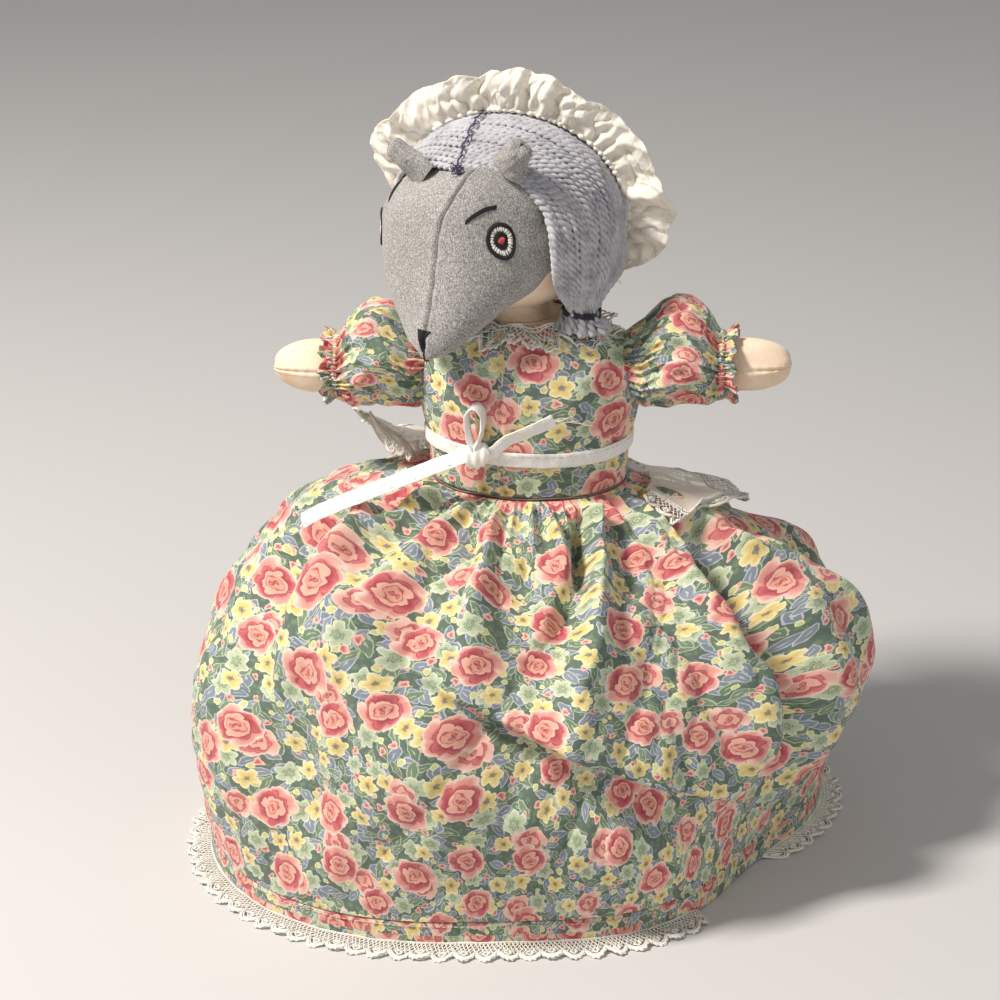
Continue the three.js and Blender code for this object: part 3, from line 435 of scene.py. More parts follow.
forehead_lean, cheek_left_in, cheek_right_in, tip_down = 12, 5.4, 7.5, 3.2


def on_head(points):
    """Takes muzzle points to the head, where the face was sewn on askew: it leans, is fuller on one cheek,
    and lies close on the stuffed head at its edges."""
    tip = soft_step(points[..., 2], 0.5 * face_reach, face_reach)
    points = points.copy()
    points[..., 1] *= np.where(points[..., 1] < 0, 0.76, 1)
    points = placed(points, from_muzzle_to_face)
    points[..., 0] += forehead_lean * soft_step(points[..., 2], 2, 38) * soft_step(-points[..., 1], 0, 25)
    aside = points[..., 0].copy()
    slimmed = cheek_left_in * soft_step(-aside, 2, 30) + cheek_right_in * soft_step(aside, 2, 36)
    points[..., 0] = aside - slimmed + 0.8 * tip
    points[..., 2] -= tip_down * tip
    points = placed(points, Matrix.Rotation(math.radians(face_turn), 4, "Z"))
    inside = np.sqrt(((points / (np.array(head_half) + 0.9)) ** 2).sum(-1))
    hug = soft_step(points[..., 2], -20, -8)
    points = points / np.where(inside < 1, 1 - (1 - inside) * hug, 1)[..., None]
    return placed(points, head_frame)


def half_face(side):
    share, angle = grid(150, 120, 0.0, 1.0, math.pi / 2, -side * math.pi)
    points = muzzle_surface(share, angle)
    tip = np.array([0, 0, face_reach + 2.2])
    ends = [points[-1] + (tip - points[-1]) * w for w in (0.35, 0.7, 1.0)]
    ends[0][..., 2] += 0.7
    ends[1][..., 2] += 0.5
    return np.concatenate([points, np.stack(ends)])


for side, node in ((-1, "muzzle_left"), (1, "muzzle_right")):
    half = on_head(half_face(side))
    faces = grid_faces(half.shape[0], half.shape[1])
    panel = make_piece("face_panel_" + node[7:], half, faces if side < 0 else faces[:, ::-1], face_flannel,
                       "head", None, (node,))

# The face as one skin to lay stitches on: each is placed in the face's frame and dropped onto the flannel.
share, angle = grid(150, 241)


def skin_of(points):
    """A grid of points as a skin that threads can be laid on."""
    faces = grid_faces(*points.shape[:2]).tolist()
    return BVHTree.FromPolygons([Vector(p) for p in points.reshape(-1, 3)], faces)


face_skin = skin_of(on_head(muzzle_surface(share, angle)))


def dropped(points, away, skin, lift=0.0):
    """Moves points onto a skin along the direction away from it, then lifts them off it."""
    out = []
    for point in np.asarray(points, float).reshape(-1, 3):
        start = Vector(point) + Vector(away) * 40
        place, normal, _, _ = skin.ray_cast(start, -Vector(away))
        if place is None:
            place, normal, _, _ = skin.find_nearest(Vector(point))
        if normal.dot(Vector(away)) < 0:
            normal = -normal
        out.append(place + normal * lift)
    return np.array(out)


def tube(path, radius, sides=6, out=(0, 0, 1)):
    """A closed round tube along a path; the radius may change along it."""
    path = np.asarray(path, float)
    along = np.gradient(path, axis=0)
    along /= np.maximum(np.linalg.norm(along, axis=1, keepdims=True), 1e-9)
    out = np.broadcast_to(np.asarray(out, float), path.shape)
    wide = np.cross(along, out)
    short = np.linalg.norm(wide, axis=1, keepdims=True) < 1e-3
    wide = np.where(short, np.cross(along, (0.31, 0.83, 0.46)), wide)
    wide /= np.linalg.norm(wide, axis=1, keepdims=True)
    deep = np.cross(wide, along)
    turn = np.linspace(0, math.tau, sides, endpoint=False)[None, :, None]
    thick = np.broadcast_to(np.asarray(radius, float), (len(path),))[:, None, None]
    ring = path[:, None] + thick * (np.cos(turn) * wide[:, None] + np.sin(turn) * deep[:, None])
    caps = [np.broadcast_to(path[i], (1, sides, 3)) for i in (0, -1)]
    ring = np.concatenate([caps[0], ring, caps[1]])
    return ring.reshape(-1, 3), grid_faces(len(path) + 2, sides, wrap=True)


def gathered(parts):
    """Many meshes as one."""
    points, faces, count = [], [], 0
    for part_points, part_faces in parts:
        points.append(part_points)
        faces.append(part_faces + count)
        count += len(part_points)
    return np.concatenate(points), np.concatenate(faces)


def make_threads(name, parts, look, body, node=None, frame_of=None):
    """Many small meshes as one piece."""
    points, faces = gathered(parts)
    if frame_of is not None:
        points = placed(points, frame_of)
    return make_piece(name, points, faces, look, body, None, (node,) if node else ())


def plied(path, radius, pitch, out, sides=6, phase=0.0, taper=None):
    """A yarn: its two plies twist round each other along the path."""
    path = np.asarray(path, float)
    along = np.gradient(path, axis=0)
    along /= np.maximum(np.linalg.norm(along, axis=1, keepdims=True), 1e-9)
    run = run_along(path)
    out = np.broadcast_to(np.asarray(out, float), path.shape)
    wide = np.cross(along, out)
    wide /= np.maximum(np.linalg.norm(wide, axis=1, keepdims=True), 1e-9)
    deep = np.cross(wide, along)
    size = radius * (np.ones(len(path)) if taper is None else taper)
    parts = []
    for half_turn in (0, 0.5):
        turn = math.tau * (run / pitch + half_turn) + phase
        centre = path + (size * 0.82)[:, None] * (np.cos(turn)[:, None] * wide + np.sin(turn)[:, None] * deep)
        parts.append(tube(centre, size * 1.08, sides, out))
    return gathered(parts)


def spun(name, text, dark_text, rough=0.9, sheen=0.2):
    """Spun yarn or thread: fibres that run along it, with a little dye unevenness from place to place."""
    material, tree = new_material(name)
    place = in_millimetres(tree)
    fibre = put(tree, "TexNoise", {"Vector": place, "Scale": 3.0, "Detail": 3.0, "Distortion": 2.0})
    cloud = put(tree, "TexNoise", {"Vector": place, "Scale": 0.16, "Detail": 2.0})
    both = put(tree, "Math", [cloud, 0.7, fibre], operation="MULTIPLY_ADD")
    spread = put(tree, "MapRange", {"Value": both, "From Min": 0.6, "From Max": 1.05})
    mixed = put(tree, "ValToRGB", [spread])
    tone = ramp(mixed, [(0.0, colour(dark_text)), (0.7, colour(text))])
    dents = put(tree, "Bump", {"Height": fibre, "Strength": 0.5, "Distance": 0.0004})
    fibres = put(tree, "BsdfPrincipled", {"Base Color": tone, "Roughness": rough, "Specular IOR Level": 0.25,
                                          "Sheen Weight": sheen, "Sheen Roughness": 0.5,
                                          "Normal": dents})
    put(tree, "OutputMaterial", [fibres])
    return material


# Nose, mouth, eyes and brows are hand embroidery in six-strand cotton: satin stitches side by side for the
# filled shapes, and a row of short stitches for the lines. Cotton floss has a slight silky gloss.
black_floss = spun("black_cotton_floss", "#1b1a1d", "#0b0b0d", rough=0.55, sheen=0.05)
white_floss = spun("white_cotton_floss", "#eceae4", "#cfccc6", rough=0.55, sheen=0.05)
coral_floss = spun("coral_cotton_floss", "#cc5650", "#a83f40", rough=0.55, sheen=0.05)


def stitches(name, paths, radius, look, skin, away, node=None, lift=0.35, body="head"):
    """Embroidery on a skin: each path, in millimetres, is one thread that dips in at its two ends."""
    parts = []
    for path in paths:
        path = np.asarray(path, float)
        shares = np.linspace(0, 1, max(5, int(run_along(path)[-1] / 0.8)))
        fine = np.stack([np.interp(shares, np.linspace(0, 1, len(path)), path[:, k]) for k in range(3)], -1)
        laid = dropped(fine, away, skin, lift)
        ends = np.sin(math.pi * np.clip(shares, 0.02, 0.98)) ** 0.35
        laid = laid - np.array(away) * ((1 - ends) * (lift + radius))[:, None]
        parts.append(tube(laid, radius * (0.55 + 0.45 * ends), 6, away))
    make_threads(name, parts, look, body, node)


to_muzzle = np.array(muzzle_frame)[:3, :3]
nose_away = unit(to_muzzle[:, 1] + 0.5 * to_muzzle[:, 2])
nose_threads = []
nose_top, nose_tip, nose_half = 82.5, 95.0, 3.6
for across in np.linspace(-1, 1, 19):
    x = nose_half * across
    bottom = nose_tip - (nose_tip - nose_top) * abs(across) * 0.93
    nose_threads.append(placed(np.array([(x, 30, nose_top), (x * 0.72, 30, bottom)]), muzzle_frame))
stitches("nose_satin_stitch", nose_threads, 0.48, black_floss, face_skin, nose_away, "nose_patch")
mouth_line = np.array([(0.0, 4.2, 73.5), (0.1, 2.2, 77.4), (0.2, -1.0, 78.6), (0.1, -3.6, 76.8)])
make_threads("mouth_stitch_thread", [tube(on_head(smooth_line(mouth_line, 16)), 0.4)], black_floss, "head",
             "mouth_stitch")

to_face = np.array(face_frame)[:3, :3]
eye_half_width, eye_half_height = 5.9, 7.1
for side, side_name, lean, eye_place, brow_in, brow_away in (
    (-1, "left", 78, (-38, -31, -4), 38, (-0.8, -0.6, 0)),
    (1, "right", 50, (27, -40, 3), 13, (0, -1.0, 0)),
):
    lean = math.radians(lean)
    away = to_face @ unit(np.array([side * math.sin(lean), -math.cos(lean), 0.02]))
    across = to_face @ np.array([side * math.cos(lean), math.sin(lean), 0])
    centre = placed(np.array([eye_place], float), face_frame)[0]
    up = np.array([0, 0, 1.0])

    def on_eye(r, turn):
        """A point of the eye by its distance and direction from the middle, pointed at two corners."""
        corner = 1 + 0.26 * np.maximum(0, np.cos(turn - math.radians(-62))) ** 6
        corner = corner + 0.08 * np.maximum(0, np.cos(turn - math.radians(118))) ** 6
        wide, tall = eye_half_width * r * corner, eye_half_height * r * corner
        return centre + np.outer(wide * np.cos(turn) * side, across) + np.outer(tall * np.sin(turn), up)

    rim = np.linspace(0, math.tau, 49)
    outline = [on_eye(np.full(49, r), rim + 0.4 * k) for k, r in enumerate((0.93, 1.0))]
    rays = [on_eye(np.array([0.88, 0.5 + 0.05 * (k % 2)]), np.full(2, turn + 0.03 * (k % 3)))
            for k, turn in enumerate(np.linspace(0, math.tau, 34, endpoint=False))]
    ring = [on_eye(np.full(33, r), np.linspace(0, math.tau, 33)) for r in (0.3, 0.39, 0.46)]
    fill = [on_eye(np.array([0.25, 0.25]), np.array([math.pi / 2 + w, -math.pi / 2 - w]) + 0.5)
            for w in np.linspace(-1.35, 1.35, 9)]
    for name, paths, radius, look, node, lift in (
        ("eye_outline_", outline, 0.78, black_floss, "eye_" + side_name, 0.42),
        ("eye_rays_", rays, 0.4, white_floss, None, 0.5),
        ("eye_ring_", ring, 0.5, black_floss, None, 0.62),
        ("eye_middle_", fill, 0.42, coral_floss, None, 0.72),
    ):
        stitches(name + side_name, paths, radius, look, face_skin, away, node, lift)
    brow_rise = ((0, 10.3), (3.5, 13.6), (8, 16.8), (11.3, 17.6))
    brow_ends = np.array([(side * (brow_in + x), -40, z) for x, z in brow_rise])
    brow_line = smooth_line(placed(brow_ends, face_frame), 12)
    brow = [brow_line + np.array([0, 0, d]) for d in (-0.55, 0.0, 0.55)]
    stitches("brow_stitch_" + side_name, brow, 0.5, black_floss, face_skin, to_face @ np.array(brow_away),
             "brow_" + side_name, 0.4)


# The ears: small pieces of the same flannel, rolled up lengthwise so that the tip is a tight curl, and
# sewn on where the forehead's edge is turned in. The left one is longer and leans out further.
ear_flannel = flannel("rolled_flannel", darker=0.04)
ear_places = {"left": ((-18.5, -36.0, 26.5), 50, 22, 20), "right": ((26.5, -32.0, 34.5), 36, 16, 15)}
for side, side_name in ((-1, "left"), (1, "right")):
    (x, y, z), lean, back, length = ear_places[side_name]
    ear_frame = face_frame @ Matrix.Translation((x, y, z)) @ Matrix.Rotation(math.radians(back), 4, "X")
    ear_frame = ear_frame @ Matrix.Rotation(math.radians(side * lean), 4, "Y")
    rows, columns = 70, 120
    up, round_it = np.meshgrid(np.linspace(-0.12, 1, rows), np.linspace(0, 1, columns), indexing="ij")
    rolled = soft_step(up, 0.1, 0.75)
    turns = 1.15 + 0.75 * rolled
    angle = (round_it - 0.5) * math.tau * turns * (0.42 + 0.58 * rolled) + 0.5 * math.pi
    half = 8.0 * (1 - rolled) + (4.6 if side < 0 else 5.4) * rolled
    spiral = half * (1 - 0.38 * rolled * np.abs(round_it * 2 - 1))
    end = np.sqrt(np.clip(1 - soft_step(up, 0.84, 1.0) ** 2, 0.02, 1))
    flat = 0.5 + 0.5 * rolled
    felt = 0.35 * np.sin(9 * up + 5 * angle) * np.sin(4 * angle)
    reach = spiral * end + felt
    points = np.stack([reach * np.cos(angle), -reach * np.sin(angle) * flat - 1.0,
                       length * up + 0.6 * np.cos(angle * 2) * rolled], -1)
    ear = make_piece("rolled_ear_" + side_name, placed(points, ear_frame), grid_faces(rows, columns),
                     ear_flannel, "ear_" + side_name, None, ("ear_" + side_name,))
    thicken(ear, 0.0013, 0)


# Upper hair: strands of lavender-grey two-ply yarn, drawn about 3.7 mm across and overlapping, couched along
# a parting over the head, swept down each side over a padding of the same yarn and tied below the ears.
# The padding is drawn in darker colours than the strands: painted shade in the gaps between them.
# Acrylic yarn is matt and a little fuzzy; its two plies make the slanting ridges.
hair_yarn = spun("lavender_grey_acrylic_yarn", "#c6c6cc", "#8a8894", rough=0.95, sheen=0.3)
# The padding's darker yarn colours are painted shade, not a different yarn.
under_shade_yarn = spun("shaded_acrylic_yarn", "#7d7a8c", "#5f5d6e", rough=1.0, sheen=0.1)
hair_half = np.array([54, 51, 47.5])
parting_x = -10.9
part_front, part_back = math.radians(40), math.radians(141)
lock_places = {"left": (-40, 7, -37), "right": (40, -15, -37)}
strand_rng = np.random.default_rng(11)
face_edges = {
    1: [(-10.9, -36.0, 31.5), (2, -36.6, 32.6), (13, -37.2, 31.5), (22, -38.5, 25.5), (28.2, -38.8, 18.5),
        (31.6, -39.4, 10.5), (33.2, -39.9, 0.7), (33.4, -37.6, -12.3), (33, -30.0, -24.0), (35, -22, -33)],
    -1: [(-10.9, -36.0, 31.5), (-40, -20, -37)],
}


def strand_path(side, k, shares, raised=0.0):
    """One strand from the parting to the tie; k is 0 at the face's edge and 1 at the back."""
    start_turn = part_front + (part_back - part_front) * k
    start = np.array([parting_x / 54, -math.cos(start_turn) * 0.96, math.sin(start_turn) * 0.96])
    if side > 0:
        longitude, latitude = -50 + 102 * k, 12 - 6 * k
    else:
        longitude, latitude = 181 - 50 * k, 10 - 4 * k
    a, b = math.radians(longitude), math.radians(latitude)
    middle = np.array([math.cos(a) * math.cos(b), math.sin(a) * math.cos(b), math.sin(b)])
    tie = np.array(lock_places["left" if side < 0 else "right"], float)
    full = np.array([-side * 7.0, -9.0, 5.0]) * (1 - k) ** 2 + np.array([side * 1.0, 14.0, 5.0]) * k ** 2
    end = (tie + np.array([0, 0, 3]) + full) / hair_half
    control = 2 * middle - (start + end / np.linalg.norm(end)) / 2
    t = shares[:, None]
    way = (1 - t) ** 2 * start + 2 * t * (1 - t) * control + t ** 2 * end / np.linalg.norm(end)
    way = unit(way)
    out = unit(way / hair_half)
    face_edge = smooth_line(face_edges[side], shares)
    path = way * hair_half
    path = path + (face_edge - path) * ((1 - k) ** 5 if side > 0 else 0) + out * raised
    path[:, :2] *= 1 + (0.22 if k > 0.25 or side < 0 else 0.88 * k) * soft_step(-path[:, 2:3], 4, 40)
    round_tie = math.radians(200 + 320 * k) if side > 0 else math.radians(-20 - 320 * k)
    inside = 0.45 + 0.4 * ((k * 7.3) % 1)
    target = tie + np.array([9.0 * inside * math.cos(round_tie), 6.6 * inside * math.sin(round_tie), 0])
    meet = soft_step(t, 0.88, 1.0)
    return path * (1 - meet) + target * meet, out


strand_radius, strand_twist = 0.98, 7.0
for side, side_name, count in ((-1, "left", 27), (1, "right", 38)):
    shares = np.linspace(0, 1, 90)
    strands = []
    for k in (np.arange(count) + 0.5) / count:
        path, out = strand_path(side, k, shares, -0.2 + strand_rng.uniform(-0.45, 0.45))
        wander = np.cumsum(strand_rng.normal(0, 0.1, (90, 3)), axis=0)
        wander -= np.linspace(0, 1, 90)[:, None] * wander[-1]
        taper = 1 - 0.25 * soft_step(shares, 0.75, 1)
        path = path + wander * np.sin(math.pi * shares)[:, None]
        strands.append(plied(path, strand_radius, strand_twist, out, taper=taper,
                             phase=strand_rng.uniform(0, 6.28)))
    make_threads("yarn_hair_" + side_name, strands, hair_yarn, "head", "hair_" + side_name,
                 head_frame)
    # A darker sheet under the strands: painted shade showing in the gaps between them.
    down = np.linspace(0.0, 0.97, 60)
    cover = np.stack([strand_path(side, k, down, -1.3)[0] for k in np.linspace(0.0, 1.0, 40)], 1)
    make_piece("hair_shade_padding_" + side_name, placed(cover, head_frame), grid_faces(60, 40)[:, ::side],
               under_shade_yarn, "head", None)

# Dark purple thread holds the strands down along the parting, with a small tangle of it left at the front.
purple_thread = spun("purple_sewing_thread", "#4b4668", "#332f4a", rough=0.7, sheen=0.1)
turns = np.linspace(math.radians(38), math.radians(96), 60)
over_top = np.stack([np.full(60, parting_x), -52.4 * np.cos(turns), 49.2 * np.sin(turns)], -1)
over_top[:, 0] += 0.5 * np.sin(turns * 31) + 0.3 * np.sin(turns * 77)
parts = [tube(over_top, 0.42, 5, (1, 0, 0))]
for k in range(5):
    ends = strand_rng.uniform(-1, 1, (6, 3)) * (3.0, 1.2, 2.4) + over_top[2]
    parts.append(tube(smooth_line(ends, 24), 0.2, 4))
for k in range(9):
    at = over_top[4 + 6 * k]
    across = np.linspace(-1.6, 1.6, 7)[:, None]
    bridge = at + across * np.array([1.0, 0.25, 0.1]) + unit(at / hair_half ** 2) * (0.5 - 0.15 * across ** 2)
    parts.append(tube(bridge, 0.18, 4))
make_threads("parting_thread", parts, purple_thread, "head", "parting_stitch", head_frame)

# Each side is wound round with dark yarn, and its cut ends make a short tuft under the tie.
tie_yarn = spun("charcoal_tie_yarn", "#3a3743", "#24222b", rough=0.95, sheen=0.2)
coil_half_width, coil_half_depth, coil_turns = 8.7, 6.5, 3.4
for side, side_name in ((-1, "left"), (1, "right")):
    tie = np.array(lock_places[side_name], float)
    turn = np.linspace(0, math.tau * coil_turns, 150)
    coil = tie + np.stack([coil_half_width * np.cos(turn), coil_half_depth * np.sin(turn),
                           1.9 - 3.6 * turn / turn[-1]], -1)
    coil[:, 2] += 0.5 * np.sin(turn * 0.9)
    make_threads("tie_of_yarn_" + side_name, [plied(coil, 0.45, 4.0, (0, 0, 1), sides=5)], tie_yarn, "head",
                 "lock_tie_" + side_name, head_frame)
    parts = []
    for k in range(30):
        a = k * 2.399963
        r = math.sqrt((k + 0.5) / 30)
        x, y = 8.4 * r * math.cos(a), 6.0 * r * math.sin(a)
        reach = 5.6 + 2.2 * strand_rng.random()
        spread = 1.25 + 0.25 * strand_rng.random()
        ends = tie + np.array([(x, y, 1.0), (x * 1.05, y * 1.05, -2.5),
                               (x * spread, y * spread, -2.5 - reach * 0.5),
                               (x * spread * 1.12, y * spread * 1.1, -2.8 - reach * 0.85)])
        parts.append(plied(smooth_line(ends, 18), 1.0, 7.5, (0.3, -1, 0),
                           taper=1 + 0.18 * np.linspace(0, 1, 18), phase=a))
    make_threads("yarn_tuft_" + side_name, parts, hair_yarn, "head", "hair_tuft_" + side_name,
                 head_frame)


# The doll's second face is embroidered on the back of the same head: two small eyes and a mouth.
head_skin = skin_of(placed(ball_points(head_half), head_frame))
red_floss = spun("red_cotton_floss", "#b4444a", "#8e2f38", rough=0.55, sheen=0.05)


def small_face(prefix, skin, frame_of, away, body, drop):
    """Two eyes in satin stitch with lashes, and a mouth in two rows of red back stitch."""
    half_gap, off = 13, 40 * math.copysign(1, away[1])
    for side, side_name in ((-1, "left"), (1, "right")):
        rows = []
        for across in np.linspace(-1, 1, 11):
            tall = 2.7 * math.sqrt(max(0.05, 1 - across ** 2))
            x = side * half_gap + 3.2 * across
            rows.append(placed(np.array([(x, off, drop + tall), (x, off, drop - tall)]), frame_of))
        for k in range(4):
            x = side * (half_gap + 0.4 + 1.3 * k)
            rows.append(placed(np.array([(x, off, drop + 2.7 - 0.3 * k),
                                         (x + side * 1.2, off, drop + 4.8 - 0.4 * k)]), frame_of))
        stitches(f"{prefix}eye_stitches_{side_name}", rows, 0.36, black_floss, skin, away,
                 f"{prefix}eye_{side_name}", 0.4, body)
    smile = np.linspace(-1, 1, 9)
    low = drop - 19 - 1.6 * (1 - smile ** 2)
    rows = [placed(np.stack([6.3 * smile, np.full(9, off), low - d], -1), frame_of) for d in (0, 0.75)]
    stitches(prefix + "mouth_stitches", rows, 0.42, red_floss, skin, away, prefix + "mouth", 0.4, body)


small_face("second_", head_skin, head_frame, np.array(head_frame)[:3, 1], "head", 1)


# The mob cap: a circle of thin cream muslin, drawn in by elastic a little inside its hemmed edge, so that
# it makes a full soft crown behind and a deep ruffle in front. It is thin, so light comes through it.
cap_material, tree = new_material("thin_cream_muslin")
place = put(tree, "UVMap", uv_map="cloth")
front_side = woven(tree, colour("#fffcf5"), place, 0.7, 0.9, 0.3)
through = put(tree, "BsdfTranslucent", [colour("#f3e6c4")])
mixed = put(tree, "MixShader", [0.22, front_side, through])
put(tree, "OutputMaterial", [mixed])

cap_set, cap_slope = 14, math.tan(math.radians(13))
elastic_seat, elastic_thick, cap_nape, frill_turn = 0.9, 2.6, 36, 17


def seat_radius(angle, grow):
    """Distance from the cap's axis to the hair, at one angle round the elastic."""
    w, d, h = (half + grow for half in hair_half)
    rise = np.sin(angle)
    a = (np.cos(angle) / w) ** 2 + (rise * cap_slope / d) ** 2 + (rise / h) ** 2
    b = -2 * cap_set * rise * cap_slope / d ** 2
    c = (cap_set / d) ** 2 - 1
    radius = (-b + np.sqrt(b * b - 4 * a * c)) / (2 * a)
    nape = (cap_nape + grow) / np.maximum(-rise, 0.05)
    return np.where(rise < 0, np.minimum(radius, nape), radius)


def cap_point(angle, radius, back):
    rise = radius * np.sin(angle)
    return np.stack([radius * np.cos(angle), cap_set - rise * cap_slope + back, rise], -1)


cap_rng = np.random.default_rng(5)
ruffles = [(cap_rng.uniform(0, math.tau), 12 + 3 * k, 1.0 / (1 + 0.4 * k)) for k in range(5)]


def ruffle(angle):
    """An uneven wave round the cap, from -1 to 1 or so."""
    skewed = angle + 0.16 * np.sin(3 * angle + 1.2) + 0.1 * np.sin(5 * angle)
    return sum(tall * np.sin(count * skewed + start) for start, count, tall in ruffles) / 2.3


share, angle = grid(46, 1441)
fullness = soft_step(np.sin(angle + math.radians(frill_turn)), -0.35, 0.15)
hang = 1 + 0.07 * np.sin(5 * angle + 1) + 0.05 * np.sin(9 * angle + 2) + 0.04 * np.sin(17 * angle)
least_width, most_width = 1.6, 17.5
width = least_width + (most_width - least_width) * fullness * hang
shirr = np.sin(97 * angle + 3 * np.sin(11 * angle)) * np.exp(-share * 5.5)
fine = np.sin(41 * angle + 2.5 * np.sin(9 * angle)) * np.exp(-share * 1.6) * soft_step(share, 0, 0.1)
creased = np.sin(67 * angle + 3 * np.sin(5 * angle) + 2 * share) * near(share, 0.45, 0.3)
cells = 13.5 * angle + 1.4 * np.sin(4 * angle + 1) + 0.9 * np.sin(7 * angle)
cells = cells + 0.5 * np.sin(3 * math.pi * share)
puffs = (np.abs(np.sin(cells)) ** 0.45 - 0.55) * np.sin(math.pi * np.clip(share * 1.15, 0, 1)) ** 0.8
tucks = np.sin(29 * angle + 4 * np.sin(6 * angle) + 5 * share) * near(share, 0.6, 0.25)
wave = ruffle(angle) * share ** 0.8 * (1 - 0.25 * share)
wrinkles = sum(
    tall * (np.abs(np.sin(count * angle + 3 * np.sin(lean * angle) + along * share + lean)) ** 0.7 - 0.6)
    for count, lean, along, tall in ((29, 5, 4, 0.9), (19, 3, 7, 0.9), (47, 7, -5, 0.3)))
wrinkles = wrinkles * soft_step(share, 0.05, 0.4)
curl = -2.4 * share + 4.5 * share ** 3 * (0.5 + 0.5 * np.sin(9 * angle + 0.7))
back = fullness * (4.6 * wave + 1.7 * fine + curl - 4.0 * puffs + 0.8 * tucks + wrinkles) + 0.5 * shirr
start = seat_radius(angle, elastic_seat + elastic_thick * 0.6)
bent = 1.1 * np.abs(np.sin(cells)) ** 0.6 + 0.5 * np.sin(23 * angle + 2 * np.sin(4 * angle))
out = start + width * (share ** 0.85) + fullness * (bent * share + 0.25 * shirr + 0.3 * creased + 0.5 * tucks)
cap_frill_points = cap_point(angle, out, back)
frill = make_cloth("cap_ruffle", cap_frill_points, cap_material, "cap", "cap_frill", head_frame,
                   stretch=1.5)
thicken(frill, 0.0005)

hem_row = int(46 * 0.83)
hem_line = cap_frill_points[hem_row]
hem_top = np.gradient(cap_frill_points, axis=0)[hem_row]
facing = unit(np.cross(np.gradient(hem_line, axis=0), hem_top))
cap_thread = cotton("cream_sewing_thread", "#cfc6b0", thread=0.5)
parts = []
for first in range(0, 1428, 7):
    stitch = slice(first, first + 5)
    for face_side in (-1, 1):
        parts.append(tube(hem_line[stitch] + facing[stitch] * 0.42 * face_side, 0.17, 4, facing[stitch]))
make_threads("cap_hem_stitches", parts, cap_thread, "cap", None, head_frame)

# The elastic runs in a narrow shirred casing.
turn, angle = np.meshgrid(np.linspace(0, math.tau, 13), np.linspace(0, math.tau, 1441))
pinch = 1 + 0.22 * np.sin(97 * angle + 3 * np.sin(11 * angle)) + 0.1 * np.sin(61 * angle)
tunnel = seat_radius(angle, elastic_seat + elastic_thick / 2) + elastic_thick * 0.46 * pinch * np.cos(turn)
casing = cap_point(angle, tunnel, elastic_thick * 0.62 * pinch * np.sin(turn))
make_cloth("cap_shirred_casing", casing, cap_material, "cap", "cap_elastic", head_frame,
           turned=True)

rise, angle = np.meshgrid(np.linspace(0, 1, 110), np.linspace(0, math.tau, 961), indexing="ij")
lift = math.pi / 2 * rise
full = 1 + 0.15 * np.sin(2 * lift)
pleats = np.sin(53 * angle + 2 * np.sin(7 * angle)) * np.exp(-rise * 6) * 1.2
soft_folds = np.sin(19 * angle + 3 * np.sin(4 * angle) + 5 * rise) * np.exp(-rise * 2.2) * 1.5
slump = 1.6 * np.sin(7 * angle + 9 * rise) * np.sin(math.pi * rise) * np.sin(5 * rise + 2)
radius = (seat_radius(angle, 2.6) * full + pleats + soft_folds + slump) * np.cos(lift)
crown_depth = 45.5
sway = 1.5 * np.sin(4 * angle + 6 * rise) * np.cos(lift) * rise
crown = cap_point(angle, radius, 1.4 + crown_depth * np.sin(lift) + sway)
crown_piece = make_cloth("cap_crown_bag", crown, cap_material, "cap", "cap_crown", head_frame,
                         stretch=1.3)
thicken(crown_piece, 0.0005)

# A few ends of thread were left hanging where the cap's seam meets the elastic.
parts = []
for a, reach in ((-32, 8), (-38, 6), (-28, 5), (172, 7)):
    a = math.radians(a)
    root = cap_point(a, seat_radius(a, 3.6), 0.0)
    away = np.array([math.cos(a), -0.3, math.sin(a)])
    ends = root + np.outer([0, 0.4, 0.75, 1], away * reach)
    ends = ends + cap_rng.normal(0, 0.9, (4, 3)) * [[0], [1], [1], [1]]
    parts.append(tube(smooth_line(ends, 16), 0.16, 4))
make_threads("cap_loose_threads", parts, cap_thread, "cap", None, head_frame)


# The dress's quilting cotton: a plain weave printed all over with roses, small flowers and leaves. The
# print lies on the cloth, so it is drawn over the cloth's own length and width in millimetres.
def motif(tree, cloth_place, cell, shift, randomness):
    """Scattered places one cell apart: gives the way from the nearest one, turned at random."""
    scaled = put(tree, "VectorMath", [cloth_place, (1 / cell,) * 3], operation="MULTIPLY")
    moved = put(tree, "VectorMath", [scaled, shift], operation="ADD")
    cells = put(tree, "TexVoronoi", {"Vector": moved, "Scale": 1.0, "Randomness": randomness},
                voronoi_dimensions="2D")
    back = put(tree, "VectorMath", [moved, cells.outputs["Position"]], operation="SUBTRACT")
    dice = put(tree, "SeparateColor", [cells.outputs["Color"]])
    grow = put(tree, "Math", [dice.outputs[1], cell * 0.24, cell * 0.86], operation="MULTIPLY_ADD")
    grown = put(tree, "VectorMath", {"Vector": back, "Scale": grow}, operation="SCALE")
    turn = put(tree, "Math", [dice, math.tau], operation="MULTIPLY")
    turned = put(tree, "VectorRotate", {"Vector": grown, "Angle": turn},
                 rotation_type="Z_AXIS")
    place = put(tree, "SeparateXYZ", [turned])
    return place.outputs[0], place.outputs[1]


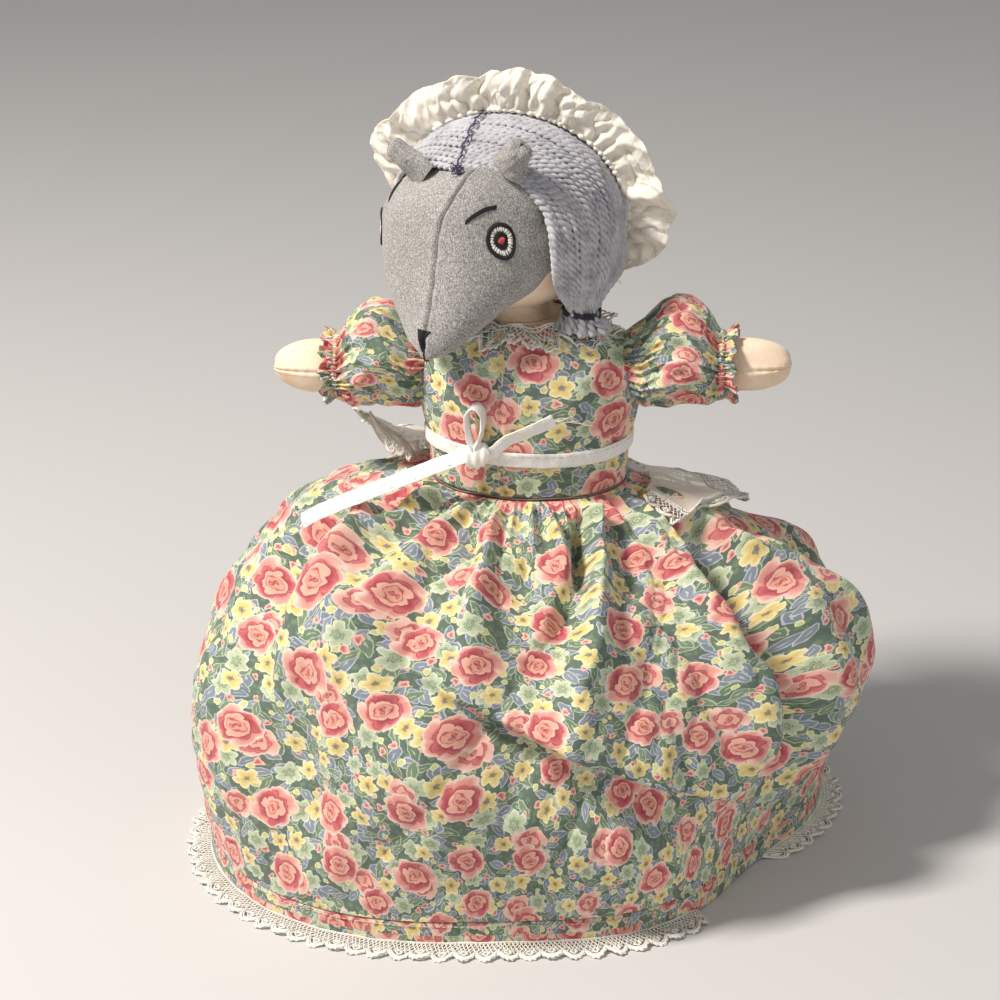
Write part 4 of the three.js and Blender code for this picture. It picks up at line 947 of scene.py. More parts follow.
def blossom(tree, across, up, petals, swirl, notch, size):
    """Distance from a flower's middle as a share of its radius, notched between its petals."""
    angle = put(tree, "Math", [up, across], operation="ARCTAN2")
    square = put(tree, "Math", [across, across], operation="MULTIPLY")
    square = put(tree, "Math", [up, up, square], operation="MULTIPLY_ADD")
    reach = put(tree, "Math", [square, 0.5], operation="POWER")
    reach = put(tree, "Math", [reach, size], operation="DIVIDE")
    if swirl:
        twist = put(tree, "Math", [angle, 2.0], operation="MULTIPLY")
        twist = put(tree, "Math", [reach, 12.0, twist], operation="MULTIPLY_ADD")
        twist = put(tree, "Math", [twist], operation="SINE")
        reach = put(tree, "Math", [twist, 0.065, reach], operation="MULTIPLY_ADD")
    curl = put(tree, "Math", [reach, swirl, angle], operation="MULTIPLY_ADD")
    wave = put(tree, "Math", [curl, petals / 2], operation="MULTIPLY")
    wave = put(tree, "Math", [wave], operation="COSINE")
    wave = put(tree, "Math", [wave], operation="ABSOLUTE")
    wave = put(tree, "Math", [wave, 0.7], operation="POWER")
    dent = put(tree, "Math", [wave, -notch, 1 + notch], operation="MULTIPLY_ADD")
    return put(tree, "Math", [reach, dent], operation="MULTIPLY")


def over(tree, below, mask, shade):
    """Lays a printed shape over what is below it."""
    return put(tree, "Mix", {0: mask, 6: below, 7: shade}, data_type="RGBA").outputs[2]


def flower_print(tree, cloth_place):
    """The print's colour over the cloth, layer by layer from the ground up."""
    wobble = put(tree, "TexNoise", {"Vector": cloth_place, "Scale": 0.22, "Detail": 2.0})
    wobble = put(tree, "VectorMath", [wobble.outputs["Color"], (0.5, 0.5, 0.5)], operation="SUBTRACT")
    wobble = put(tree, "VectorMath", {"Vector": wobble, "Scale": 3.4}, operation="SCALE")
    drawn = put(tree, "VectorMath", [cloth_place, wobble], operation="ADD")
    shade = colour("#64746a")
    x, y = motif(tree, drawn, 3.4, (3.1, 8.7, 0), 1.0)
    speck = blossom(tree, x, y, 5, 0, 0.9, 1.9)
    shade = over(tree, shade, put(tree, "Math", [speck, 0.62], operation="LESS_THAN"), colour("#75886f"))
    leaves = (
        (10.4, (5.2, 1.3, 0), 2.3, 4.2, "#818b99", "#bac2c8"),
        (12.4, (9.4, 6.1, 0), 2.0, 4.8, "#6f856f", "#b6c3a5"),
        (10.8, (2.2, 3.9, 0), 2.2, 4.4, "#8b94a1", "#c1c8cd"),
        (12.8, (6.9, 0.8, 0), 1.9, 4.4, "#7c8f78", "#b8c4a8"),
    )
    for cell, shift, width, length, deep, pale in leaves:
        x, y = motif(tree, drawn, cell, shift, 0.9)
        share = put(tree, "Math", [x, length], operation="DIVIDE")
        share = put(tree, "Math", [share, share], operation="MULTIPLY")
        edge = put(tree, "Math", [share, -width, width], operation="MULTIPLY_ADD")
        half = put(tree, "Math", [y], operation="ABSOLUTE")
        inside = put(tree, "Math", [edge, half], operation="SUBTRACT")
        leaf = put(tree, "ValToRGB", [put(tree, "Math", [inside, width], operation="DIVIDE")])
        leaf.color_ramp.interpolation = "CONSTANT"
        tone = ramp(leaf, [(0, colour(pale)), (0.22, colour(deep)), (0.88, colour(pale))])
        mask = put(tree, "Math", [inside, 0], operation="GREATER_THAN")
        shade = over(tree, shade, mask, tone)
    flowers = (
        (11.0, (1.7, 4.4, 0), 1.0, 3, 0, 0.55, 1.9,
         [(0, "#b8505a"), (0.45, "#d98a86"), (0.75, "#eec3b4")]),
        (12.0, (8.8, 1.9, 0), 1.0, 5, 0, 0.1, 1.5,
         [(0, "#dccf8c"), (0.6, "#c9cf94"), (0.85, "#eaeabf")]),
        (18.5, (7.7, 2.6, 0), 0.75, 6, 0, 0.55, 5.3,
         [(0, "#566654"), (0.13, "#ccd3b4"), (0.2, "#5f7460"), (0.27, "#b2bf9f"), (0.4, "#7b8f78"),
          (0.45, "#b4c1a2"), (0.8, "#c1ccaf"), (0.9, "#d6ddc6")]),
        (19.5, (4.3, 9.9, 0), 0.8, 5, 0, 0.62, 4.9,
         [(0, "#5d6e78"), (0.13, "#8595a0"), (0.25, "#a58548"), (0.29, "#dcc27c"), (0.66, "#e6d28f"),
          (0.9, "#f0e5b8")]),
        (44.0, (2.9, 5.3, 0), 0.75, 5, 2.2, 0.26, 7.9,
         [(0, "#9a3f48"), (0.1, "#dc9a8b"), (0.18, "#a94650"), (0.21, "#e3a898"), (0.44, "#e9b3a2"),
          (0.47, "#a84650"), (0.52, "#c36a70"), (0.64, "#d08083"), (0.67, "#b0505a"), (0.7, "#e3a698"),
          (0.94, "#f2cfc1")]),
        (33.5, (6.5, 7.1, 0), 0.62, 6, 1.5, 0.2, 9.8,
         [(0, "#943840"), (0.07, "#d98f81"), (0.12, "#a5434c"), (0.15, "#e2a897"), (0.27, "#dc9c8c"),
          (0.3, "#a8444d"), (0.33, "#e3a696"), (0.5, "#edbbaa"), (0.53, "#a5434d"), (0.58, "#bb5962"),
          (0.68, "#c87276"), (0.71, "#a8464f"), (0.74, "#d88d88"), (0.84, "#e4a599"), (0.95, "#f3d2c4")]),
    )
    for cell, shift, randomness, petals, swirl, notch, size, stops in flowers:
        x, y = motif(tree, drawn, cell, shift, randomness)
        reach = blossom(tree, x, y, petals, swirl, notch, size)
        petal = put(tree, "ValToRGB", [reach])
        tone = ramp(petal, [(place, colour(text)) for place, text in stops])
        mask = put(tree, "Math", [reach, 1.0], operation="LESS_THAN")
        shade = over(tree, shade, mask, tone)
    return shade


printed_cotton, tree = new_material("printed_cotton")
where = put(tree, "UVMap", uv_map="cloth")
put(tree, "OutputMaterial", [woven(tree, flower_print(tree, where), where)])

plain_red = "#9a3f48"
plain_cotton = cotton("plain_cotton", plain_red)

skirt_sides = []
for name, outside_first in (("skirt_cotton", True), ("lining_cotton", False)):
    material, tree = new_material(name)
    where = put(tree, "UVMap", uv_map="cloth")
    faces = [woven(tree, flower_print(tree, where), where), woven(tree, colour(plain_red), where)]
    side = put(tree, "NewGeometry").outputs["Backfacing"]
    pair = put(tree, "MixShader", [side, *(faces if outside_first else faces[::-1])])
    put(tree, "OutputMaterial", [pair])
    skirt_sides.append(material)


# Both bodices are cut close over the torsos, with a centre seam, and gathered a little at the waist.
# The upper doll's is the printed cotton, the lower doll's a plain red one. Sewing turns the edges in.
def bodice_points():
    lift = 1.5
    share, angle = grid(110, 361, 0.002, 0.968, -1.5 * math.pi)
    around_waist = np.sin(26 * angle + 1.4 * np.sin(5 * angle)) * np.exp(-share * 9) * 0.55
    folds = 0.8 * near(share, 0.3 + 0.14 * np.sin(3 * angle), 0.12) * np.sin(7 * angle + 9 * share)
    folds += 0.55 * np.sin(11 * angle - 16 * share) * np.sin(math.pi * share)
    drag = 0.0
    for side in (-1, 1):
        towards = near(around_from(angle, 90 - 90 * side), 0, 52) * near(share, 0.7, 0.2)
        drag = drag + 0.6 * towards * np.sin(34 * share + side * 3 * angle)
    bare = oval_form(torso_stations, share, angle)
    seam = np.where(bare[..., 1] < 0, near(bare[..., 0], -7.8, 0.7), 0) * -0.9
    seam += np.where(bare[..., 1] < 0, near(bare[..., 0], -6.2, 1.5), 0) * 0.7
    edge = soft_step(share, 0, 0.03) * soft_step(-share, -0.968, -0.93)
    return oval_form(torso_stations, share, angle, lift + (around_waist + folds + drag + seam) * edge)


points = bodice_points()
for prefix, frame_of, look, slot, torso, thread in (
    ("", upper, printed_cotton, "floral", "upper_stuffed_torso", cap_thread),
    ("lower_", lower, plain_cotton, "plain", "lower_stuffed_torso", red_floss),
):
    bodice = make_cloth(prefix + "dress_bodice", points, look, "doll", prefix + "bodice", frame_of)
    thicken(bodice, 0.0009)
    # A line of running stitches closes each bodice down the front, just beside the seam.
    rows = [placed(np.array([(-9.6, -60, z), (-9.6, -60, z + 2.0)]), frame_of) for z in np.arange(6, 70, 3.4)]
    stitches(prefix + "bodice_seam_stitches", rows, 0.22, thread, skin_of(placed(points, frame_of)),
             np.array(frame_of)[:3, 1] * -1, None, 0.12, "doll")


# Puffed sleeves: a straight piece of the same cotton, gathered into the armhole and again by elastic above
# the wrist, where its free edge makes a small frill. The gathers are deepest beside the two seams.
sleeve_rng = np.random.default_rng(21)
cuff_place, cuff_radius = 36.5, 15.35
for prefix, puff, look, slot in (("", 25, printed_cotton, "floral"), ("lower_", 20, plain_cotton, "plain")):
    for side, side_name in ((-1, "left"), (1, "right")):
        limb = limb_frames[prefix + side_name]
        arm = f"{prefix}arm_{side_name}"
        share, angle = grid(150, 481)
        along = -11 + 53.5 * share
        profile = [(-11, puff * 0.52, 0), (-3, puff * 0.7, 0), (7, puff * 0.93, 0), (18, puff, 0),
                   (29, puff * 0.86, 0), (34.6, 15.4, 0), (36.5, 14.9, 0), (38.5, 15.2, 0), (42.5, 17.6, 0)]
        radius = np.interp(along, *np.array(smooth_line(profile, 200))[:, :2].T)
        start = sleeve_rng.uniform(0, 6.28)
        uneven = 1.5 * np.sin(3 * angle + start) + 0.8 * np.sin(7 * angle)
        shoulder = 3.0 * (gathers(angle, 15, uneven, 0.8) - 0.35) * near(along, -2, 9)
        cuff_pull = 3.4 * (gathers(angle, 17, -uneven, 0.8) - 0.35) * near(along, 32.5, 5.5)
        cuff_pull = cuff_pull + 0.8 * np.sin(51 * angle + 2 * uneven) * near(along, 36.5, 3.0)
        edge_frill = 1.3 * np.sin(22 * angle + 2 * uneven) * soft_step(along, 37.5, 42)
        body_folds = 1.5 * near(share, 0.45, 0.25) * np.sin(6 * angle + start + 5 * share)
        body_folds += 0.8 * near(share, 0.5, 0.3) * np.sin(13 * angle - 9 * share + start)
        body_folds += 0.5 * near(share, 0.5, 0.3) * np.sin(27 * share + 4 * np.sin(4 * angle))
        radius = radius + shoulder + cuff_pull + edge_frill + body_folds - 0.8 * near(share, 0.45, 0.3)
        lifted = 7 * np.sin(math.pi * np.clip(along / 35, 0, 1))
        out = along + 1.2 * np.sin(11 * angle) * soft_step(along, 37.5, 42)
        points = np.stack([out, radius * np.cos(angle), radius * np.sin(angle) + lifted], -1)
        sleeve = make_cloth(f"{prefix}puffed_sleeve_{side_name}", points, look, None,
                            f"{prefix}sleeve_{side_name}", limb, stretch=(1.3, 1.0), shift=90 * (side + 2))
        thicken(sleeve, 0.0007)
        ends = placed(np.array([(-7.0, 0, 0), (15.0, 0, 0)]), limb) * 0.001
        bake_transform(sleeve)
        turn, angle = np.meshgrid(np.linspace(0, math.tau, 11), np.linspace(0, math.tau, 481))
        pinch = 1 + 0.3 * np.sin(51 * angle + 2 * np.sin(3 * angle)) + 0.1 * np.sin(37 * angle)
        ring = cuff_radius + 0.75 * pinch * np.cos(turn)
        casing = np.roll(polar(ring, angle, cuff_place + 1.25 * pinch * np.sin(turn)), 1, -1)
        make_cloth(f"{prefix}cuff_casing_{side_name}", casing, look, arm,
                   f"{prefix}cuff_elastic_{side_name}", limb)


# Cotton lace: the collar, the hem and the apron's edge are the same kind, a net ground between a plain
# header and a scalloped edge with picots. Each thread is drawn, about twice as thick as the real one.
lace_cotton = spun("cream_cotton_lace_thread", "#fffdf6", "#f2ede0", rough=0.85, sheen=0.15)


def lace_threads(length, width, pitch):
    """Threads of a lace strip as flat paths: distance along it and share across it."""
    net = 2.1
    count = max(1, round(length / pitch))
    pitch = length / count
    cells = max(2, round(pitch / net))
    across = np.linspace(0, 1, 5)
    paths = []
    for k in range(count):
        u0 = k * pitch
        run = np.linspace(0, 1, 11)
        for v in (0.0, 0.13):
            paths.append((np.stack([u0 + run * pitch, np.full(11, v)], -1), 1.25))
        for c in range(cells):
            a = u0 + pitch * c / cells
            b = u0 + pitch * (c + 1) / cells
            paths.append((np.stack([np.full(3, a), np.linspace(0, 0.13, 3)], -1), 0.9))
            low_a = 0.52 + 0.13 * math.sin(math.pi * c / cells)
            low_b = 0.52 + 0.13 * math.sin(math.pi * (c + 1) / cells)
            for start, end, low in ((a, b, low_b), (b, a, low_a)):
                paths.append((np.stack([start + (end - start) * (0.5 - 0.5 * np.cos(math.pi * across * 2)),
                                        0.13 + (low - 0.13) * across], -1), 0.7))
        scallop = 0.62 + 0.33 * np.sin(math.pi * run) ** 0.8
        for shift in (0.0, -0.1):
            paths.append((np.stack([u0 + run * pitch, scallop + shift], -1), 1.5 if shift == 0 else 0.9))
        for p in range(5):
            t = (p + 0.5) / 5
            edge = 0.62 + 0.33 * math.sin(math.pi * t) ** 0.8
            turn = np.linspace(0, math.tau, 7)
            size = pitch * 0.055
            paths.append((np.stack([u0 + t * pitch + size * np.cos(turn),
                                    edge + 0.035 + size / width * np.sin(turn)], -1), 0.8))
        turn = np.linspace(0, math.tau, 13)
        petals = 1 + 0.35 * np.cos(4 * turn)
        size = pitch * 0.13
        paths.append((np.stack([u0 + 0.5 * pitch + size * petals * np.cos(turn),
                                0.66 + size * petals / width * np.sin(turn)], -1), 1.3))
    return paths


def lace(name, length, width, surface, body, node, thread, pitch):
    """Lace on a surface: surface(along, across) gives points for millimetres along and a share across."""
    parts = [tube(surface(*flat.T), thread * heavy, 3, (0.1, -0.3, 1))
             for flat, heavy in lace_threads(length, width, pitch)]
    make_threads(name, parts, lace_cotton, body, node)


collar_radius = 27.0


def collar_surface(along, across):
    turn = -math.pi / 2 + along / collar_radius
    rumple = 1.5 * np.sin(along * 0.5) + 1.0 * np.sin(along * 1.3 + 1)
    height = 79.8 - 8.0 * across - 1.0 * np.sin(along * 0.33)
    forms = [smooth_line([(form[0], form[k], 0) for form in torso_stations], 400) for k in (1, 2)]
    off_bodice = 3.4 + 1.3 * np.abs(rumple) * across
    wide, thin = [np.interp(height, form[:, 0], form[:, 1]) + off_bodice for form in forms]
    flat = np.stack([wide * np.cos(turn), thin * np.sin(turn), height + 1.4 * rumple * across], -1)
    return placed(flat, upper)


lace("neckline_lace", collar_radius * math.tau, 9.5, collar_surface, "doll", "collar_lace", 0.42, 7.0)


# The skirt: two wide flared skirts back to back, the printed one outside and the plain red one inside, each
# gathered into its own waist seam. It stands full over the lower doll, with soft folds and a sagging hem.
skirt_line = [(0, 189, 0), (0.08, 185, 0), (0.2, 177, 0), (0.36, 168, 0), (0.56, 158, 0), (0.75, 140, 0),
              (0.9, 113, 0), (0.98, 80, 0), (1, 50, 0), (0.985, 14.3, 0)]


mean_spread, oval_spread, oval_turn = 149, 24, math.radians(22)


def full_outline(angle):
    return mean_spread + oval_spread * np.cos(2 * (angle - oval_turn))


def hem_outline(angle):
    tucked, spread = near(around_from(angle, -12), 0, 24), near(around_from(angle, -62), 0, 22)
    return full_outline(angle) - 24 * tucked + 8 * spread


# Each long fold: direction in degrees, half width in degrees, where it starts and ends down the skirt,
# height in millimetres before the common 1.25, and how far it swings sideways on its way down.
long_folds = [
    (-42, 4.6, 0.0, 0.8, 9, -48), (-50, 4.4, 0.04, 0.75, -9, -50), (-11, 4.6, 0.05, 1, -15, -14),
    (-25, 5.0, 0.1, 0.95, 9, -12), (3, 5.0, 0.08, 0.9, 9, 6), (-166, 6.5, 0.2, 0.95, -10, 60),
    (-156, 6.0, 0.2, 0.9, 9, 100), (-84, 7.0, 0.25, 0.8, -7, -6),
    (-33, 3.4, 0.02, 0.45, 4, -10), (-20, 2.6, 0.02, 0.5, 8, -6), (-4, 3.0, 0.02, 0.6, 8, 4),
    (-70, 3.6, 0.05, 0.55, 5.5, 10), (-100, 4.4, 0.06, 0.65, 6, 5), (-118, 5.0, 0.04, 0.75, 6, -8),
    (-138, 4.6, 0.04, 0.8, 6.5, 6), (-100, 6.0, 0.58, 1.0, 6.5, 6), (-128, 6.5, 0.55, 1.0, -7, -6),
    (-6, 5.0, 0.45, 1.0, 7, -10), (-28, 4.5, 0.55, 1.0, 7, 14), (16, 5.0, 0.1, 0.9, -7, 4),
]
fold_rng = np.random.default_rng(7)
for k in range(10):
    long_folds.append((22 + 15.5 * k + fold_rng.uniform(-4, 4), fold_rng.uniform(3.5, 6),
                       fold_rng.uniform(0.02, 0.3), fold_rng.uniform(0.7, 1.0), fold_rng.uniform(4.5, 8.5),
                       fold_rng.uniform(-8, 8)))


seam_half_width, seam_half_depth = 45 + 4.7, 34 + 4.7


def skirt_base(angle, share):
    """Radius and height of the skirt's outer face before its small folds."""
    line = smooth_line(skirt_line, share)
    spread, height = line[..., 0], line[..., 1]
    waist = 1 / np.hypot(np.cos(angle) / seam_half_width, np.sin(angle) / seam_half_depth)
    full = full_outline(angle) - 3
    full = full + (hem_outline(angle) - 12 - full) * soft_step(190 - height, 85, 176)
    soft = np.abs(np.sin(np.pi * share)) ** 0.7
    folds = 4.5 * soft * (0.6 * np.sin(5 * angle + 1.1) + 0.4 * np.sin(3 * angle - 0.6))
    lean = -11 * np.cos(angle) * np.sin(np.pi * np.minimum(1, spread / 0.985)) ** 0.8
    return waist + (full - waist) * spread + folds, height + lean


def off_skirt(angle, share, lift):
    """Points of the skirt's base face moved off it by a lift."""
    radius, height = skirt_base(angle, share)
    r1, h1 = skirt_base(angle, np.minimum(1, share + 0.004))
    r0, h0 = skirt_base(angle, np.maximum(0, share - 0.004))
    run = unit(np.stack([r1 - r0, h1 - h0], -1))
    return polar(radius - run[..., 1] * lift, angle, height + run[..., 0] * lift)


def skirt_surface(angle, share, inset=0.0):
    """Points of the dressed skirt: the base face with gathers, long folds and small creases."""
    under_apron = soft_step(np.sin(angle), 0.0, 0.2) * (1 - soft_step(share, 0.45, 0.6))
    phase = 1.6 * np.sin(3 * angle) + 0.9 * np.sin(7 * angle + 1)
    lively = (4.4 + 3.0 * near(around_from(angle, -35), 0, 24)) * (0.75 + 0.25 * np.sin(5 * angle + 2))
    lift = lively * near(share, 0.1, 0.13) * (gathers(angle, 23, phase, 0.8) - 0.36)
    lift += 1.5 * near(share, 0.04, 0.07) * (gathers(angle, 35, -1.4 * phase, 0.9) - 0.36)
    for middle, half, start, end, tall, swing in long_folds:
        along = soft_step(share, start, start + 0.12) * (1 - soft_step(share, end - 0.25, end))
        off = around_from(angle, middle + swing * (share - start))
        lift = lift + 1.25 * tall * along * near(off, 0, half * (0.7 + 0.9 * share))
    aside = around_from(angle, -62)
    crease = 0.745 + 0.0036 * aside
    below = share - crease - 0.016
    bulge, hollow = 7.5, 17.0
    over_it = bulge * near(np.minimum(below + 0.016, 0), 0, 0.07)
    under_it = hollow * soft_step(below, -0.016, 0.004) * near(np.maximum(below, 0), 0, 0.08)
    ledge = over_it * (1 - soft_step(below, -0.012, 0.08)) - under_it + 5.0 * near(below, 0.14, 0.07)
    lift = lift + near(aside + 6, 0, 33) * ledge * (1 - soft_step(share, 0.93, 1.0))
    ripple = (np.sin(17 * angle + 9 * share) * np.sin(21 * share + 4 * np.sin(3 * angle))
              + 0.6 * np.sin(29 * angle - 14 * share + 2) * np.sin(34 * share + 1))
    crumple = 0
    for count, lean, bend, tall in ((7, 9, 3, 2.6), (11, -13, 5, 2.1), (16, 21, 4, 1.3), (23, -30, 7, 0.7)):
        waver = lean * share + 1.5 * np.sin(bend * angle + 6 * share)
        crumple = crumple + tall * (0.38 - gathers(angle, count, waver, 0.7))
    lift = lift + crumple * soft_step(share, 0.1, 0.3) * (1 - 0.4 * soft_step(share, 0.8, 1.0))
    lift = (lift + 0.55 * ripple * soft_step(share, 0.08, 0.3)) * (1 - 0.75 * under_apron)
    edge = soft_step(share, 0.0, 0.03) * (1 - soft_step(share, 0.975, 1.0))
    points = off_skirt(angle, share, lift * edge - inset)
    points[..., :2] *= (1 - (3.0 - inset) / 50 * (1 - soft_step(share, 0, 0.035)))[..., None]
    return points


skirt_around, skirt_down, skirt_sector, top_reach = 721, 241, 0.45, 130
angle, share = np.meshgrid(np.linspace(-1.5 * math.pi, 0.5 * math.pi, skirt_around),
                           np.linspace(0, 1, skirt_down) ** 1.15)


def skirt_cloth(points):
    """Where each point of a skirt lies on its flat cloth, a wide ring sector cut in one with the grain."""
    steps = np.linalg.norm(np.diff(points, axis=0), axis=-1).mean(1)
    down = np.concatenate([[0], np.cumsum(steps)])[:, None] + top_reach
    turn = skirt_sector * (angle + math.pi / 2)
    return np.stack([down * np.sin(turn), -down * np.cos(turn)], -1)


faces = grid_faces(skirt_down, skirt_around)
for name, inset, node, slot, look, shift, turned in (
    ("dress_skirt", 0.0, "skirt", "floral", skirt_sides[0], 0, faces[:, ::-1]),
    ("lower_dress_skirt", 1.7, "skirt_lining", "plain", skirt_sides[1], 400, faces),
):
    points = skirt_surface(angle, share, inset)
    cloth_piece = make_piece(name, points, turned, look, None, skirt_cloth(points) + shift, (node,))
    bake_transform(cloth_piece)


# Each skirt's gathers are sewn to its bodice in a seam, turned inward; from outside a thin grey green line
# shows where they meet. It is a tuck of the same cloth, drawn about 0.5 mm thick.
waist_half_width, waist_half_depth = 45 + 1.9, 34 + 1.9
seam_turn = np.linspace(0, math.tau, 361)
seam_cloth = cotton("shaded_seam_cotton", "#7a877c", thread=0.7)
seam_path = np.stack([waist_half_width * np.cos(seam_turn), waist_half_depth * np.sin(seam_turn),
                      189.9 + 0.3 * np.sin(9 * seam_turn)], -1)
points, faces = tube(seam_path, 0.24 + 0.06 * np.sin(46 * seam_turn), 8)
make_piece("waist_seam_piping", points, faces, seam_cloth, "doll", np.zeros((len(points), 2)))


# The hem: both skirts are turned up 14 mm and sewn together, so the edge is stiff and stands on the floor.
# A line of machine stitches runs along the turning's top.
def edge_radius(angle):
    return skirt_base(angle, np.ones_like(angle))[0]


turn, around = np.meshgrid(np.linspace(0, math.tau, 25), np.linspace(-1.5 * math.pi, 0.5 * math.pi, 721))
wobble = 0.5 * np.sin(31 * around) + 0.4 * np.sin(13 * around + 1)
boxy = (np.abs(np.cos(turn)) ** 4 + np.abs(np.sin(turn)) ** 4) ** -0.25
hem_half_thickness, hem_half_height = 1.9, 6.95
out = hem_half_thickness * boxy * np.cos(turn) - 2.0 + wobble * 0.25 * (1 + np.sin(turn))
up = 7 + hem_half_height * boxy * np.sin(turn)
radius = edge_radius(around) + out
hem_points = polar(radius, around, up)
band_cloth = np.stack([165 * around, np.broadcast_to(run_along(hem_points[0]), around.shape)], -1)
make_piece("turned_hem", hem_points, grid_faces(721, 25), printed_cotton, "hem", band_cloth,
           ("hem_band",))
parts = []
for start in np.arange(-math.pi, math.pi, 0.021):
    stitch = start + np.linspace(0, 0.0145, 4)
    parts.append(tube(polar(edge_radius(stitch) + 0.15, stitch, np.full(4, 11.8)), 0.25, 4))
make_threads("hem_stitches", parts, cap_thread, "hem")


# Cotton lace peeks out under the hem, lying nearly flat on the floor in small waves. At the right front it is
# turned under, where the skirt hangs over it.
hem_run = np.linspace(-math.pi, math.pi, 2001)
hem_along = run_along(polar(edge_radius(hem_run), hem_run, 0 * hem_run))
lace_width = 14.0


def hem_surface(along, across):
    turn = np.interp(along, hem_along, hem_run)
    facing = np.degrees(turn)
    turned_under = soft_step(facing, -43, -36) * (1 - soft_step(facing, -14, -7))
    reach = lace_width * across * (1 - 1.85 * turned_under) + 0.6 * across * np.sin(turn * 67)
    rise = 3.4 - 2.3 * across + 0.9 * across * np.sin(turn * 41 + 2 * np.sin(turn * 7))
    return polar(edge_radius(turn) - 2.0 + reach, turn, np.maximum(rise, 0.5))


lace("hem_lace_edging", hem_along[-1], lace_width, hem_surface, "hem", "hem_lace", 0.55, 9.5)


# The apron: a half circle of stiff cream organza gathered under the tape at the back, edged with lace.
# Organza is a plain weave of fine twisted silk or nylon; here its threads fill 55 to 88 % of the cloth.
organza, tree = new_material("brown_organza")
place = put(tree, "UVMap", uv_map="cloth")
threads = put(tree, "VectorMath", [place, (math.tau / 0.9,) * 3], operation="MULTIPLY")
parts = put(tree, "SeparateXYZ", [threads])
warp = put(tree, "Math", [parts], operation="COSINE")
weft = put(tree, "Math", [parts.outputs[1]], operation="COSINE")
weave = put(tree, "Math", [warp, weft], operation="MAXIMUM")
filled = put(tree, "MapRange", {"Value": weave, "From Min": 0.0, "From Max": 1.0, "To Min": 0.55,
                                "To Max": 0.88})
thread_cloth = put(tree, "BsdfPrincipled", {"Base Color": colour("#efe6d8"), "Roughness": 0.5,
                                            "Specular IOR Level": 0.4, "Sheen Weight": 0.3,
                                            "Sheen Roughness": 0.4})
gap = put(tree, "BsdfTransparent", [colour("#ffffff")])
mixed = put(tree, "MixShader", [filled, gap, thread_cloth])
put(tree, "OutputMaterial", [mixed])
apron_start, apron_end, apron_top = -8, 176, 0.07


def apron_point(angle, part, offset):
    side = np.cos(angle)
    edge_reach = np.where(side > 0, 0.23, 0.16)
    reach = edge_reach + (0.5 - edge_reach) * np.maximum(np.sin(angle), 0)
    lift = np.where(side > 0, 10, 22) * side * side * part
    ripple = 2.5 * part * np.sin(9 * angle) + 0.8 * part * np.sin(31 * angle + 3 * part)
    return off_skirt(angle, apron_top + (reach - apron_top) * part, 3.2 + lift + ripple + offset)


part, around = np.meshgrid(np.linspace(0, 1, 60), np.radians(np.linspace(apron_start, apron_end, 301)),
                           indexing="ij")
shirring = 0.9 * np.sin(60 * around) * np.exp(-part * 5)
apron = make_cloth("organza_apron", apron_point(around, part, 0.6 + shirring), organza, "doll",
                   "apron", turned=True)

apron_edge_angles = np.concatenate([np.full(120, apron_start), np.linspace(apron_start, apron_end, 500)[1:-1],
                                    np.full(120, apron_end)])
apron_edge_parts = np.concatenate([np.linspace(0.12, 1, 120), np.ones(498), np.linspace(1, 0.12, 120)])
apron_edge = apron_point(np.radians(apron_edge_angles), apron_edge_parts, 0.6)
apron_along = run_along(apron_edge)
outward_turn = np.clip((apron_edge_angles - 88) / 84, -1, 1)
side_share = soft_step(np.abs(outward_turn), 0.88, 1.0) * np.sign(outward_turn)
lace_turn = math.degrees(lace_width / 100)


def apron_lace_surface(along, across):
    turn = np.interp(along, apron_along, apron_edge_angles)
    part = np.interp(along, apron_along, apron_edge_parts)
    sideways = np.interp(along, apron_along, side_share)
    down = np.sqrt(np.clip(1 - sideways ** 2, 0, 1)) * lace_width / 55 * (0.4 + 0.6 * part)
    hang = np.where(np.cos(np.radians(turn)) > 0, 5, 15) * part * np.abs(sideways) * across
    ruffle_wave = 0.9 * across * np.sin(along * 0.55) - hang
    turn = np.radians(turn + sideways * lace_turn * across)
    return apron_point(turn, part + down * across, 0.9 + ruffle_wave)


lace("apron_lace_edging", apron_along[-1], lace_width, apron_lace_surface, "doll", "apron_lace", 0.46, 9.0)


# The apron strings: white cotton bias tape, folded in half lengthwise and stitched along its open edge. It
# goes round the waist over the bodice and is tied in front in half a bow, with one long and one short end.
tape_cotton = cotton("white_bias_tape", "#f4f2ee", thread=0.6, dent=0.25)
tape_stitch = spun("white_sewing_thread", "#dcdad4", "#bdbab2", rough=0.7)


